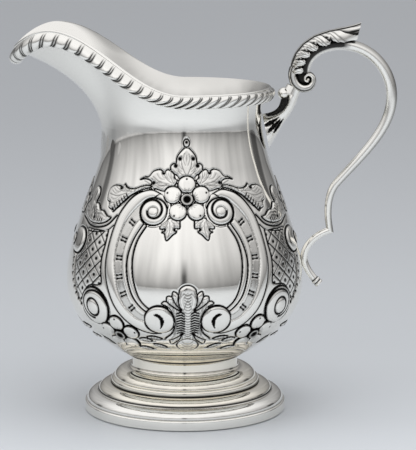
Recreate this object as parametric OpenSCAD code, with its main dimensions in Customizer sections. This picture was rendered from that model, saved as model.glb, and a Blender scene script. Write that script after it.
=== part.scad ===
// Silver cream jug: raised body with a pouring lip, gadrooned rim wire, stepped foot and scroll handle.
// Millimetres. +Z up, +X towards the handle, -X towards the lip. The origin is the centre of the foot's base.

/* [Body] */
// Radius of the bowl at its fullest
belly_r = 44.4; // [42:0.2:46]
// Height of the bowl's fullest ring
belly_z = 50; // [46:0.5:54]
// Radius of the ring where the bowl ends and the neck begins
neck_r = 31.7; // [30:0.1:33]
// Height of that ring
neck_z = 95; // [92:0.5:98]
// Inward lean of the wall at that ring, as run over rise
neck_lean = 0.27; // [0.2:0.01:0.35]
// Outer radius of the seat that is soldered to the foot
seat_r = 19.8; // [19:0.1:20.5]
// Height of the seat's outer edge
seat_z = 20.2; // [19.6:0.1:20.8]
// Lowest point of the rounded bottom, inside the foot
bottom_z = 15.6; // [15:0.1:16.4]
// Thickness of the silver sheet
wall = 1; // [0.8:0.1:1.3]

/* [Mouth and lip] */
// Radius of the mouth's round back half
mouth_r = 32.3; // [31.4:0.1:33]
// Height of the mouth's level back half
mouth_z = 121.8; // [120:0.2:123]
// Distance from the axis forward to the two highest points of the lip
peak_x = 48; // [46:0.5:50]
// Half the distance between those points
peak_half_w = 20.5; // [18:0.5:23]
// Height of those points
peak_z = 144; // [141:0.5:147]
// Distance from the axis forward to the lip's tip
tip_x = 63.4; // [61:0.2:66]
// Height of the lip's tip
tip_z = 135.8; // [134:0.2:138]

/* [Ornament] */
// Turn of the chased ornament about the axis, towards the handle
ornament_turn = 2; // [0:0.5:4]
// Height of the chased scrolls and flowers above the wall
relief = 1.1; // [0.6:0.1:1.4]
// Width of the scroll on each side of a cartouche, at its broadest
frame_w = 5.6; // [4.4:0.1:6.4]
// Width of the scroll under each trellis
trellis_w = 4.6; // [3.6:0.1:5.4]
// Radius of the flower over each cartouche
flower_r = 8.2; // [7:0.1:9]
// Radius of the flowers between the cartouches and the trellises
side_flower_r = 7.4; // [6.4:0.1:8]

/* [Rim wire] */
// Number of gadroons round the rim
gadroons = 54; // [44:1:64]
// Width of the wire down the outside of the lip
rim_w = 4.6; // [4:0.1:5.2]
// Thickness of the wire at the crest of a gadroon
rim_t = 2.4; // [2:0.1:2.8]
// Depth of the furrow between two gadroons
furrow = 0.8; // [0.4:0.1:1]
// Slant of a gadroon, in pitches over the wire's width
slant = 0.9; // [0.5:0.1:1.2]

/* [Foot] */
// Radius of the foot wire
foot_r = 38; // [37.4:0.2:39]
// Height of the foot wire
foot_wire_h = 3.6; // [3:0.1:4]
// Width of the foot wire's resting face
foot_wire_w = 2.4; // [2:0.1:2.8]
// Thickness of the foot's sheet
foot_wall = 1.1; // [0.9:0.1:1.3]
// Width of the lower moulding, before the three are fitted between the foot wire and the seat
lower_w = 4; // [3.4:0.1:4.6]
// Height of the lower moulding
lower_h = 2.9; // [2.6:0.1:3.2]
// Width of the middle moulding, before that fitting
middle_w = 4.3; // [3.8:0.1:4.8]
// Height of the middle moulding
middle_h = 2.5; // [2.2:0.1:2.8]
// Width of the upper moulding, before that fitting
upper_w = 5.2; // [4.6:0.1:5.6]
// Height of the upper moulding
upper_h = 3.5; // [3.1:0.1:3.8]

/* [Handle] */
// Reach of the handle from the jug's axis, to the middle of the rod
reach = 77.1; // [74:0.2:80]
// Height of the rod's outermost point
reach_z = 118.2; // [116:0.2:120]
// Height of the middle of the rod at the top of its loop
top_z = 137.8; // [136:0.2:139]
// Half thickness of the rod at its outermost point
rod_thick = 2.1; // [1.8:0.1:2.3]
// Half thickness of the rod at the heel of the loop
rod_thin = 1.3; // [1.1:0.1:1.5]
// Thickness of the leaf that covers the top of the loop
leaf_t = 3.1; // [2.4:0.1:3.6]
// Radius of the volute's outer turn, to the middle of its band
volute_r = 3.6; // [3.4:0.1:4]

/* [Hidden] */

silver = "#dcdad4";
bright_silver = "#ebeae5";

// Curves
function bezier(p, t) =
    pow(1 - t, 3) * p[0] + 3 * pow(1 - t, 2) * t * p[1] + 3 * (1 - t) * t * t * p[2] + pow(t, 3) * p[3];
function bezier_slope(p, t) =
    3 * pow(1 - t, 2) * (p[1] - p[0]) + 6 * (1 - t) * t * (p[2] - p[1]) + 3 * t * t * (p[3] - p[2]);
function unit(v) = v / norm(v);
function chain(curves, steps) =
    concat([curves[0][0]], [for (c = curves) for (i = [1:steps]) bezier(c, i / steps)]);
// Part of a turn, from angle a to angle b, of an ellipse with the half axes rx and ry
function turn(centre, rx, ry, a, b, steps) =
    [for (i = [0:steps]) let (q = a + (b - a) * i / steps) centre + [rx * cos(q), ry * sin(q)]];

// Body sections: radius and height in the half plane through the axis at each point of the lip
seat_w = 1.6;
seat_drop = 0.9;
seat_inner = [seat_r - seat_w, seat_z - seat_drop];
seat_outer = [seat_r, seat_z];
seat_lean = [seat_w, seat_drop] / seat_w;
bottom_pull = 0.4 * seat_inner[0];
bottom_curve = [[0, bottom_z], [bottom_pull, bottom_z], seat_inner - bottom_pull * seat_lean, seat_inner];
seat_curve = [for (k = [0:3]) seat_inner + (seat_outer - seat_inner) * k / 3];
belly = [belly_r, belly_z];
neck = [neck_r, neck_z];
lower_curve = [seat_outer, seat_outer + 15.4 * seat_lean, belly - [0, 13.5], belly];
upper_curve = [belly, belly + [0, 15], neck - 14 * [-neck_lean, 1], neck];
// The neck climbs from the ring and then flares, further where the lip reaches out further
neck_climb = 0.43;
flare_out = 5;
flare_share = 0.63;
flare_up = 8.5;
function neck_curve(p) =
    let (r = norm([p[0], p[1]]), z = p[2], climb = neck_climb * (z - neck_z), over = max(0, r - neck_r))
    [neck, neck + climb * [-neck_lean, 1], [r - flare_out - flare_share * over, z - flare_up], [r, z]];
function section(p) = [bottom_curve, seat_curve, lower_curve, upper_curve, neck_curve(p)];
// A point of the section, moved in by depth across the wall
function wall_point(curve, t, depth) =
    let (d = unit(bezier_slope(curve, t)))
    bezier(curve, t) + depth * [-d[1], d[0]];
function placed(p, rz) = let (u = unit([p[0], p[1]])) [rz[0] * u[0], rz[0] * u[1], rz[1]];

// The lip: a round, level back half, then a rise to a peak on each side and a droop to the tip
lip_side = [0, mouth_r, mouth_z];
peak = [-peak_x, peak_half_w, peak_z];
tip = [-tip_x, 0, tip_z];
peak_run = [-1, -0.4, 0.05];
lip_rise = [lip_side, lip_side + [-18, 0, 0], peak - 17 * peak_run, peak];
lip_droop = [peak, peak + 8 * peak_run, tip + [0, 11.5, 1], tip];
back_steps = 18;
front_steps = 12;
half_lip = concat(
    [for (i = [0:back_steps - 1]) let (q = 90 * i / back_steps)
     [mouth_r * cos(q), mouth_r * sin(q), mouth_z]],
    chain([lip_rise, lip_droop], front_steps));
half_count = len(half_lip);
lip = concat(half_lip, [for (i = [half_count - 2:-1:1]) [half_lip[i][0], -half_lip[i][1], half_lip[i][2]]]);
lip_count = len(lip);

// Radius of the round back of the body at a height, found by halving
function curve_at(curve, z, lo, hi, n) =
    n == 0 ? bezier(curve, (lo + hi) / 2)[0]
    : let (mid = (lo + hi) / 2) bezier(curve, mid)[1] < z ? curve_at(curve, z, mid, hi, n - 1)
                                                          : curve_at(curve, z, lo, mid, n - 1);
back_neck = neck_curve([mouth_r, 0, mouth_z]);
halvings = 24;
function back_r(z) =
    curve_at(z > neck_z ? back_neck : z > belly_z ? upper_curve : lower_curve, z, 0, 1, halvings);
// Moves a point of a fitting out to the body's surface where it would lie inside
solder = 0.03;
function seated(p) =
    let (r = back_r(p[2]) + solder) norm([p[0], p[1]]) < r ? [sqrt(r * r - p[1] * p[1]), p[1], p[2]] : p;

// A skin over closed loops, joined in order and closed at both ends. A loop has as many points as the one
// before it, half as many or twice as many
module skin(rings) {
    last = len(rings) - 1;
    size = [for (r = rings) len(r)];
    first = [for (i = 0, sum = 0; i <= last + 1; sum = sum + (i <= last ? size[i] : 0), i = i + 1) sum];
    middle = function(ring) [for (k = [0:2]) [for (p = ring) p[k]] * [for (p = ring) 1 / len(ring)]];
    points = concat([for (r = rings) for (p = r) p], [middle(rings[0]), middle(rings[last])]);
    sides = [for (i = [0:last - 1])
        let (n = size[i], m = size[i + 1], spans = min(n, m), near = n / spans, far = m / spans)
        for (j = [0:spans - 1])
            let (a = first[i] + near * j, b = first[i] + (near * (j + 1)) % n,
                 c = first[i + 1] + far * j, d = first[i + 1] + (far * (j + 1)) % m)
            each (near > far ? [[a, c, a + 1], [a + 1, c, d], [a + 1, d, b]]
                  : near < far ? [[a, c, c + 1], [a, c + 1, b], [b, c + 1, d]]
                  : [[a, d, b], [a, c, d]])];
    low = [for (j = [0:size[0] - 1]) [j, (j + 1) % size[0], first[last + 1]]];
    high = [for (j = [0:size[last] - 1])
            [first[last] + (j + 1) % size[last], first[last] + j, first[last + 1] + 1]];
    polyhedron(points, concat(sides, low, high));
}

// A rod along a path of [x, z] points: half thickness in the path's plane and across it at each point
ring_sides = 12;
function path_run(path, i) = unit(path[min(i + 1, len(path) - 1)] - path[max(i - 1, 0)]);
function tilted_ring(c, d, thick, wide) =
    [for (k = [0:ring_sides - 1]) let (q = 360 * k / ring_sides, out = thick * cos(q))
     [c[0] + d[1] * out, wide * sin(q), c[1] - d[0] * out]];
function rod_ring(path, i, thick, wide) = tilted_ring(path[i], path_run(path, i), thick, wide);

// The loop of the handle, from the heel up round the top to the volute
heel_off = [10.2, 17.9];
heel = belly + heel_off;
waist_off = [2.6, 18.3];
waist = heel + waist_off;
top_back = 19.1;
top = [reach - top_back, top_z];
loop_end_off = [12.3, 5.5];
loop_end = [mouth_r, mouth_z] + loop_end_off;
outermost = [reach, reach_z];
waist_run = [0.66, 0.75];
loop_curves = [
    [heel, heel + [-1.3, 6.5], waist - 6 * waist_run, waist],
    [waist, waist + 14 * waist_run, outermost - [0, 12], outermost],
    [outermost, outermost + [0, 11], top + [10.5, 0], top],
    [top, top - [7.5, 0], loop_end + [0, 6.5], loop_end]];
loop_steps = 12;
loop_path = chain(loop_curves, loop_steps);
loop_count = len(loop_path);
function rod_half(i) =
    let (s = min(1, i / (2 * loop_steps))) rod_thin + (rod_thick - rod_thin) * pow(s, 1.6);

// The leaf covers the loop's outer side from its blunt, upturned tip to the volute
leaf_first = 34;
leaf_half_w = 4.2;
tip_rise = 3.8;
tip_fade = 0.47;
lobe_steps = 3;
lobe_cut = 0.24;
function leaf_ring(i) =
    let (d = path_run(loop_path, i), c = loop_path[i], a = rod_half(i), along = i - leaf_first,
         cut = lobe_cut * ((along + 1) % lobe_steps == 0 ? 1 : 0),
         broad = leaf_half_w * (min(1, 0.45 + 0.2 * along) - cut),
         thick = leaf_t + tip_rise * pow(tip_fade, along))
    concat([for (q = [60:-30:-60]) [c[0] + d[1] * a * cos(q), a * sin(q), c[1] - d[0] * a * cos(q)]],
           [for (q = [-60:30:60]) let (out = a * cos(60) + (a * (1 - cos(60)) + thick) * cos(1.4 * q))
            [c[0] + d[1] * out, broad * sin(q) / sin(60), c[1] - d[0] * out]]);

// The volute under the leaf: a band that curls in on itself
volute_drop = [0.3, 3.1];
volute_middle = loop_end - volute_drop;
volute_turns = 1.15;
volute_step = 15;
volute_pitch = 2.15;
volute_band = [1.1, 0.8];
volute_half_w = 3;
volute_lead = 1.6;
volute_start = [[volute_middle[0] - volute_r + 0.2, loop_end[1] - solder],
                volute_middle + [-volute_r + 0.05, volute_lead]];
volute_path = concat(volute_start, [for (q = [0:volute_step:360 * volute_turns])
    volute_middle + (volute_r - volute_pitch * q / 360) * [cos(180 + q), sin(180 + q)]]);

// The bracket under the volute, from its knob round to the neck
bracket_face = unit([1, 2]);
bracket_turn = 63.4;
volute_reach = volute_r - volute_pitch * bracket_turn / 360 + volute_band[0] - 0.01;
bracket_shift = 1.9;
bracket_start = volute_middle - volute_reach * bracket_face
    + bracket_shift * [-bracket_face[1], bracket_face[0]];
bracket_up = 9;
bracket_sink = 0.9;
bracket_foot_z = neck_z + bracket_up;
bracket_foot = [back_r(bracket_foot_z) - bracket_sink, bracket_foot_z];
bracket_lead = 7.4;
bracket_splay = [8.8, 4.8];
bracket_path = chain([[bracket_start, bracket_start - bracket_lead * bracket_face,
                       bracket_foot + bracket_splay, bracket_foot]], 10);
bracket_half = [2.4, 3.1, 3.2, 3, 2.9, 2.9, 3, 3.3, 3.9, 4.7, 5.8];
bracket_wide = [2.4, 3, 3.2, 3.2, 3.3, 3.5, 3.8, 4.3, 5, 5.8, 6.6];

// The scroll under the heel, from its beaded tail past the bowl to a mitre with the loop
scroll_half = 1.35;
touch_up = 7.8;
touch_z = belly_z + touch_up;
scroll_touch = [back_r(touch_z) + scroll_half - 0.05, touch_z];
scroll_run = [0.96, 0.28];
tail_off = [6.4, -2.6];
tail = belly + tail_off;
tail_run = [2.8, -2.6];
scroll_curves = [
    [tail, tail - tail_run, scroll_touch - [0, 3.8], scroll_touch],
    [scroll_touch, scroll_touch + [0, 4.6], heel - 5 * scroll_run, heel]];
scroll_steps = 12;
scroll_path = chain(scroll_curves, scroll_steps);
scroll_count = len(scroll_path);
tail_half = 1.75;
heel_run = unit(scroll_run + unit(loop_path[1] - heel));
heel_thick = 1.3 * rod_thin;
heel_ring = tilted_ring(heel, heel_run, heel_thick, rod_thin);

// Chased ornament, drawn by the angle from the nearest cartouche's middle and the height over the fullest
// ring. Each quarter of the bowl mirrors the next
function from_cartouche(a) = abs((a - ornament_turn + 360) % 180 - 90);
frame_curves = [
    [[19.5, 36.6], [30, 37], [41, 27], [41, 14]],
    [[41, 14], [41, 3.5], [31, -9.5], [15, -10.6]]];
trellis_curve = [[42.6, -8.5], [46, -15], [66, -11], [90, -10.4]];
frame_path = chain(frame_curves, 6);
trellis_path = chain([trellis_curve], 6);
// Volute and bulb of a frame and the volute under a trellis: place, then radius
bosses = [[[19.6, 31.6], 5.6], [[13.4, -8], 5.2], [[49.4, -4.6], 6.2]];
flowers = [[[0, 35.8], flower_r], [[37.4, -14.6], side_flower_r]];
petals = 5;
petal_cut = 0.3;
// Step on the wall from one place to another, across and up
slope_step = 0.1;
function bowl_slope(z) = (back_r(z + slope_step) - back_r(z - slope_step)) / (2 * slope_step);
function wall_scale(at) = let (z = belly_z + at[1]) [back_r(z) * PI / 180, norm([1, bowl_slope(z)])];
function wall_step(scale, from, to) = [(to[0] - from[0]) * scale[0], (to[1] - from[1]) * scale[1]];
// Distance of a line from the origin, and the height of a half round form at a share of its half width
function line_gap(a, b) =
    let (run = b - a, t = min(1, max(0, -(a * run) / (run * run)))) norm(a + t * run);
function path_gap(scale, at, path) =
    let (steps = [for (p = path) wall_step(scale, at, p)])
    min([for (i = [0:len(path) - 2]) line_gap(steps[i], steps[i + 1])]);
function swell(share) = share < 1 ? sqrt(1 - share * share) : 0;
function petal_share(step, radius) =
    let (q = atan2(step[1], step[0]) - 90)
    norm(step) / (radius * (1 - petal_cut * (1 - cos(petals * q)) / 2));
function chased(at) =
    let (k = wall_scale(at))
    relief * max(concat(
        [for (rib = [[frame_path, frame_w], [trellis_path, trellis_w]])
            swell(2 * path_gap(k, at, rib[0]) / rib[1])],
        [for (b = bosses) swell(norm(wall_step(k, at, b[0])) / b[1])],
        [for (f = flowers) swell(petal_share(wall_step(k, f[0], at), f[1]))]));

// Angles of the bowl's columns: in each quarter some columns lie inside the cartouche's frame, some follow
// the frame itself and the rest lie beyond it, and all are drawn over to the lip's points at the neck
frame_columns = 4;
frame_least = 27;
blend_h = 10;
frame_by_height = [for (i = [len(frame_path) - 1:-1:0]) [frame_path[i][1], frame_path[i][0]]];
function quarter_turn(j, n, z) =
    let (inside = round(n / 3), far = inside + frame_columns,
         middle = max(frame_least, lookup(z - belly_z, frame_by_height)),
         half = frame_w / 2 / wall_scale([0, z - belly_z])[0])
    j <= inside ? (middle - half) * j / inside
    : j <= far ? middle + half * (2 * (j - inside) / frame_columns - 1)
    : middle + half + (90 - middle - half) * (j - far) / (n - far);
function column_turn(i, z) =
    i > half_count - 1 ? 360 - column_turn(lip_count - i, z)
    : i < back_steps ? 90 - quarter_turn(back_steps - i, back_steps, z)
    : 90 + quarter_turn(i - back_steps, 2 * front_steps, z);
function lip_turn(i) = (atan2(lip[i][1], lip[i][0]) + 360) % 360;
function bowl_turn(i, z) =
    let (s = min(1, max(0, 1 - (neck_z - z) / blend_h)))
    (1 - s) * (column_turn(i, z) + ornament_turn) + s * lip_turn(i);
function bowl_point(i, curve, t) =
    let (z = bezier(curve, t)[1], a = bowl_turn(i, z), height = chased([from_cartouche(a), z - belly_z]),
         rz = wall_point(curve, t, -height))
    [rz[0] * cos(a), rz[0] * sin(a), rz[1]];

module body() {
    outer_steps = [2, 1, 13, 16, 9];
    inner_steps = [2, 1, 4, 4, 6];
    plain_rows = 3;
    // The bottom, the plain rows over the seat and the inside take every other point of the lip
    coarse = [for (i = [0:2:lip_count - 1]) lip[i]];
    bottom = [for (s = [0:1]) for (k = [1:outer_steps[s]])
        [for (p = coarse) placed(p, wall_point(section(p)[s], k / outer_steps[s], 0))]];
    bowl = [for (s = [2:3]) for (k = [1:outer_steps[s]])
        [for (i = [0:s == 2 && k <= plain_rows ? 2 : 1:lip_count - 1])
            bowl_point(i, section(lip[i])[s], k / outer_steps[s])]];
    neck_rows = [for (k = [1:outer_steps[4]])
        [for (p = lip) placed(p, wall_point(neck_curve(p), k / outer_steps[4], 0))]];
    edge = [[for (p = lip) placed(p, wall_point(neck_curve(p), 1, wall))]];
    inside = [for (s = [4:-1:0]) for (k = [inner_steps[s] - (s == 4 ? 1 : 0):-1:1])
        [for (p = coarse) placed(p, wall_point(section(p)[s], k / inner_steps[s], wall))]];
    color(silver) skin(concat(bottom, bowl, neck_rows, edge, inside));
}

// Lip point at a distance along the rim, by way of the distances to the lip's points
rim_steps = [for (i = [0:lip_count - 1]) norm(lip[(i + 1) % lip_count] - lip[i])];
function run_to(i) = i == 0 ? 0 : run_to(i - 1) + rim_steps[i - 1];
rim_runs = [for (i = [0:lip_count]) run_to(i)];
rim_length = rim_runs[lip_count];
rim_table = [for (i = [0:lip_count]) [rim_runs[i], i]];
function lip_at(run) =
    let (f = lookup(run, rim_table), i = floor(f), s = f - i)
    lip[i % lip_count] * (1 - s) + lip[(i + 1) % lip_count] * s;

// Solder gap behind the wire, wide enough for the lip's facets
rim_seat = 0.2;

module gadroon_rim() {
    cuts = 4;
    bulge = 6;
    pitch = rim_length / gadroons;
    // A point of the wire: up its width by the share s, out from the wall by t, and leaning with the slant
    wire_point = function(run, s, t)
        let (p = lip_at((run + rim_length - slant * s * pitch) % rim_length), c = neck_curve(p),
             low = 1 - rim_w / norm(bezier_slope(c, 1)), dir = unit(bezier_slope(c, (1 + low) / 2)))
        placed(p, wall_point(c, low + (1 - low) * s, -rim_seat) + t * [dir[1], -dir[0]]);
    // A slice has three points on the wall, then the lobed outside from its lower edge to its upper one
    slice = function(run)
        let (crest = rim_t - furrow * (1 - abs(sin(180 * run / pitch))))
        concat([for (s = [1, 0.5, 0]) wire_point(run, s, 0)],
               [for (k = [0:bulge - 1]) let (q = 180 * (k + 0.5) / bulge)
                wire_point(run, (1 - cos(q)) / 2, crest * sin(q))]);
    slices = gadroons * cuts;
    rings = [for (i = [0:slices - 1]) slice(rim_length * i / slices)];
    n = bulge + 3;
    points = [for (r = rings) for (q = r) q];
    faces = [for (i = [0:slices - 1]) for (j = [0:n - 1])
             let (a = i * n + j, b = i * n + (j + 1) % n, c = ((i + 1) % slices) * n + j,
                  d = ((i + 1) % slices) * n + (j + 1) % n)
             each [[a, b, d], [a, d, c]]];
    color(bright_silver) polyhedron(points, faces);
}

// Foot profile, from the wire up: three convex mouldings with a riser between them, then a short neck
flange_r = foot_r - foot_wire_w;
flange_z = 0.5;
riser = 0.5;
wire_top = foot_wire_h + 0.1;
foot_edge = foot_r - 0.8;
bead_r = 1.2;
foot_neck_h = 7.8;
upper_base = seat_z - foot_neck_h;
bead_step = 0.4;
neck_step = 1.8;
// The three widths keep their shares of the span that the risers and the bead leave free
moulding_span = foot_edge - seat_r - neck_step - riser - bead_step - bead_r;
moulding_fit = moulding_span / (lower_w + middle_w + upper_w);
lower_run = moulding_fit * lower_w;
middle_run = moulding_fit * middle_w;
upper_run = moulding_fit * upper_w;
lower_middle = [foot_edge - lower_run, wire_top + riser];
middle_middle = lower_middle + [-riser - middle_run, lower_h + riser];
bead = middle_middle + [-bead_step, middle_h];
upper_middle = [bead[0] - bead_r - upper_run, upper_base];
mouldings = [[lower_middle, lower_run, lower_h], [middle_middle, middle_run, middle_h],
             [upper_middle, upper_run, upper_h]];
moulding_steps = 8;
function quarter(k, cut, from, to) =
    let (m = mouldings[k]) turn(m[0], m[1] - cut, m[2] - cut, from, to, moulding_steps);

module foot() {
    upper_top = upper_base + upper_h;
    outer = concat(
        [[flange_r, flange_z], [flange_r, wire_top], [foot_edge, wire_top]],
        quarter(0, 0, 0, 90), quarter(1, 0, 0, 90),
        [bead], turn(bead + [-bead_r, bead_r - 0.1], bead_r, bead_r, 0, 90, 4),
        quarter(2, 0, 0, 90),
        [[upper_middle[0] - 0.7, upper_top], [seat_r + 0.4, seat_z - 2.3], seat_outer]);
    inner = concat(
        [seat_inner, [seat_inner[0] + 0.9, upper_top - foot_wall]],
        quarter(2, foot_wall, 90, 0),
        [[upper_middle[0] + upper_run - foot_wall, upper_base - foot_wall],
         [bead[0] - foot_wall, upper_base - foot_wall - 0.3], [bead[0] - foot_wall, bead[1] - foot_wall]],
        quarter(1, foot_wall, 90, 0),
        [[middle_middle[0] + middle_run - foot_wall, middle_middle[1] - foot_wall - riser],
         [flange_r - foot_wall, middle_middle[1] - foot_wall - 0.7], [flange_r - foot_wall, flange_z]]);
    color(bright_silver) rotate_extrude($fn = 96) polygon(concat(outer, inner));
}

module foot_wire() {
    edge = 0.7;
    color(bright_silver) rotate_extrude($fn = 96)
        polygon(concat([[flange_r, 0], [foot_r - edge / 2, 0], [foot_r, edge / 2]],
                       turn([foot_r - edge, wire_top - edge], edge, edge, 0, 90, 4),
                       [[flange_r, wire_top]]));
}

module handle_loop() {
    rings = [for (i = [1:loop_count - 1]) rod_ring(loop_path, i, rod_half(i), rod_half(i))];
    color(bright_silver) skin(concat([heel_ring], rings));
}

module leaf_cap() {
    color(silver) skin([for (i = [leaf_first:loop_count - 1]) leaf_ring(i)]);
}

module volute() {
    last = len(volute_path) - 1;
    color(silver) skin([for (i = [0:last]) let (s = i / last, thick = volute_band * [1 - s, s])
        rod_ring(volute_path, i, thick, volute_half_w * (1 - 0.2 * s))]);
}

module upper_bracket() {
    color(silver) skin([for (i = [0:len(bracket_path) - 1])
        [for (p = rod_ring(bracket_path, i, bracket_half[i], bracket_wide[i])) seated(p)]]);
}

module lower_scroll() {
    half = function(i) i < 3 ? tail_half : scroll_half;
    rings = [for (i = [0:scroll_count - 2]) [for (p = rod_ring(scroll_path, i, half(i), half(i))) seated(p)]];
    color(bright_silver) skin(concat(rings, [heel_ring]));
}

body();
gadroon_rim();
foot();
foot_wire();
handle_loop();
leaf_cap();
volute();
upper_bracket();
lower_scroll();
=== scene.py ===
"""Looks of a chased silver cream jug: vessel, chased panels, gadrooned rim, stepped foot and cast handle."""

import math

import bpy
import numpy as np
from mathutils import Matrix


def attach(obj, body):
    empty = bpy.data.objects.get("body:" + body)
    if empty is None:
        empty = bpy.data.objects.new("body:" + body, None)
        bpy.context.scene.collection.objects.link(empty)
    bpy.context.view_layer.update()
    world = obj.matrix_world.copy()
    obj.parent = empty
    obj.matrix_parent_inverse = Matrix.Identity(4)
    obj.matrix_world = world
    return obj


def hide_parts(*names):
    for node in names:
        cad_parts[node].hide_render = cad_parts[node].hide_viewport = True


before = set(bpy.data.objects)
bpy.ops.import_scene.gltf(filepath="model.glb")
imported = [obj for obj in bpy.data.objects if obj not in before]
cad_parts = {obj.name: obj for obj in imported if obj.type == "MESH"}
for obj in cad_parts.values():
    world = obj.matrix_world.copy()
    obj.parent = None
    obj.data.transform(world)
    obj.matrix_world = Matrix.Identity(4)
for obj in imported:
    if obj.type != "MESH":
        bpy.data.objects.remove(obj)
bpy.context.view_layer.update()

bl_info = {
    "name": "Chased silver cream jug",
    "version": (1, 0, 0),
    "blender": (4, 5, 0),
    "location": "View3D > Sidebar > Cream jug",
    "description": "Builds the visible pieces of a silver cream jug round its CAD nodes",
    "category": "Object",
}

MM = 0.001
# Points closer than this, in metres, are one point
MERGE = 1e-7

# Body sizes in millimetres, as in the part's source
BELLY = np.array([44.4, 50.0])
NECK = np.array([31.7, 95.0])
NECK_LEAN = 0.27
SEAT_OUTER = np.array([19.8, 20.2])
SEAT_INNER = np.array([18.2, 19.3])
SEAT_LEAN = np.array([1.0, 0.5625])
BOTTOM_Z = 15.6
WALL = 1.0
MOUTH_R = 32.3
MOUTH_Z = 121.8
PEAK = np.array([-48.0, 20.5, 144.0])
TIP = np.array([-63.4, 0.0, 135.8])
PEAK_RUN = np.array([-1.0, -0.4, 0.05])
NECK_CLIMB = 0.43
FLARE_OUT = 5.0
FLARE_SHARE = 0.63
FLARE_UP = 8.5

# Radius at which the ornament is drawn unrolled, and a quarter turn on it
DRAWN_R = 44.0
QUARTER = math.radians(90) * DRAWN_R


def linear(code):
    """Turns an sRGB hex colour into linear red, green and blue."""
    parts = [int(code[i : i + 2], 16) / 255 for i in (1, 3, 5)]
    return [c / 12.92 if c <= 0.04045 else ((c + 0.055) / 1.055) ** 2.4 for c in parts]


def unit(v):
    """Vectors of length one, along the last axis."""
    v = np.asarray(v, float)
    return v / np.linalg.norm(v, axis=-1, keepdims=True)


def ramp(x, start, width):
    """Rises evenly from 0 at a start to 1, a width further on."""
    return np.clip((x - start) / width, 0, 1)


def fade(x, power=2):
    """Falls off from 1 on both sides of 0; a higher power gives a flatter top."""
    return np.exp(-(np.abs(x) ** power))


def run_along(line):
    """Length from a line's first point to each of its points, which follow each other on the first axis."""
    steps = np.linalg.norm(np.diff(line, axis=0), axis=-1)
    return np.concatenate([np.zeros_like(steps[:1]), np.cumsum(steps, axis=0)])


def sampled(at, places, table):
    """Rows of a table, read at places between the rows' own."""
    return np.stack([np.interp(at, places, column) for column in table.T], -1)


def round_turn(count):
    """Angles of points that are spaced evenly round a full turn."""
    return np.arange(count) * 2 * math.pi / count


def bezier(p, t):
    """Points of a cubic curve: p holds four points, on its first axis, and t any number of places."""
    t = np.asarray(t, float)[..., None]
    return (1 - t) ** 3 * p[0] + 3 * (1 - t) ** 2 * t * p[1] + 3 * (1 - t) * t * t * p[2] + t**3 * p[3]


def bezier_slope(p, t):
    """Slope of a cubic curve at t."""
    t = np.asarray(t, float)[..., None]
    return 3 * (1 - t) ** 2 * (p[1] - p[0]) + 6 * (1 - t) * t * (p[2] - p[1]) + 3 * t * t * (p[3] - p[2])


def chain(curves, steps):
    """One line of points along curves that follow each other."""
    t = np.linspace(0, 1, steps + 1)
    return np.vstack([curves[0][0]] + [bezier(np.array(c), t[1:]) for c in curves])


def smooth_line(points, steps=6):
    """A curve through the points, with steps places between each two."""
    p = np.array(points, float)
    p = np.vstack([2 * p[0] - p[1], p, 2 * p[-1] - p[-2]])
    t = np.linspace(0, 1, steps, endpoint=False)[:, None]
    parts = []
    for a, b, c, d in zip(p, p[1:], p[2:], p[3:]):
        bend = 2 * a - 5 * b + 4 * c - d + t * (3 * b - a - 3 * c + d)
        parts.append(b + 0.5 * t * (c - a + t * bend))
    return np.vstack(parts + [p[-2:-1]])


# Profile of the bowl in the half plane through the axis, with the run along it from the seat
LOWER = np.array([SEAT_OUTER, SEAT_OUTER + 15.4 * SEAT_LEAN, BELLY - [0, 13.5], BELLY])
UPPER = np.array([BELLY, BELLY + [0, 15], NECK - 14 * np.array([-NECK_LEAN, 1]), NECK])
BOWL = chain([LOWER, UPPER], 400)
BOWL_RUN = run_along(BOWL)
BOWL_LENGTH = BOWL_RUN[-1]
# Distance in millimetres to each side of a place on the bowl at which its slope is measured
SLOPE_STEP = 0.05
# Steps by which the length of the neck's curve is measured
NECK_STEPS = 64

# The lip: radius and height by the angle from the handle, the same on both sides
LIP_SIDE = np.array([0, MOUTH_R, MOUTH_Z])
LIP_RISE = np.array([LIP_SIDE, LIP_SIDE + [-18, 0, 0], PEAK - 17 * PEAK_RUN, PEAK])
LIP_DROOP = np.array([PEAK, PEAK + 8 * PEAK_RUN, TIP + [0, 11.5, 1], TIP])
LIP_FRONT = chain([LIP_RISE, LIP_DROOP], 300)
LIP_TURN = np.concatenate([[0], np.arctan2(LIP_FRONT[:, 1], LIP_FRONT[:, 0])])
LIP_RADIUS = np.concatenate([[MOUTH_R], np.hypot(LIP_FRONT[:, 0], LIP_FRONT[:, 1])])
LIP_HEIGHT = np.concatenate([[MOUTH_Z], LIP_FRONT[:, 2]])


def lip_at(turn):
    """Radius and height of the lip at angles from the handle."""
    half = np.abs((np.asarray(turn) + math.pi) % (2 * math.pi) - math.pi)
    return np.interp(half, LIP_TURN, LIP_RADIUS), np.interp(half, LIP_TURN, LIP_HEIGHT)


def neck_curves(turn):
    """The neck's curve at each angle: four points, then the angles, then radius and height."""
    r, z = lip_at(turn)
    climb = NECK_CLIMB * (z - NECK[1])
    over = np.maximum(0, r - NECK[0])
    start = np.broadcast_to(NECK, r.shape + (2,))
    rise = start + climb[..., None] * np.array([-NECK_LEAN, 1])
    flare = np.stack([r - FLARE_OUT - FLARE_SHARE * over, z - FLARE_UP], -1)
    return np.stack([start, rise, flare, np.stack([r, z], -1)])


def offset_section(points, slopes, depth):
    """Points of a section moved in by depth across the wall."""
    d = unit(slopes)
    return points + depth * np.stack([-d[..., 1], d[..., 0]], -1)


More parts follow.
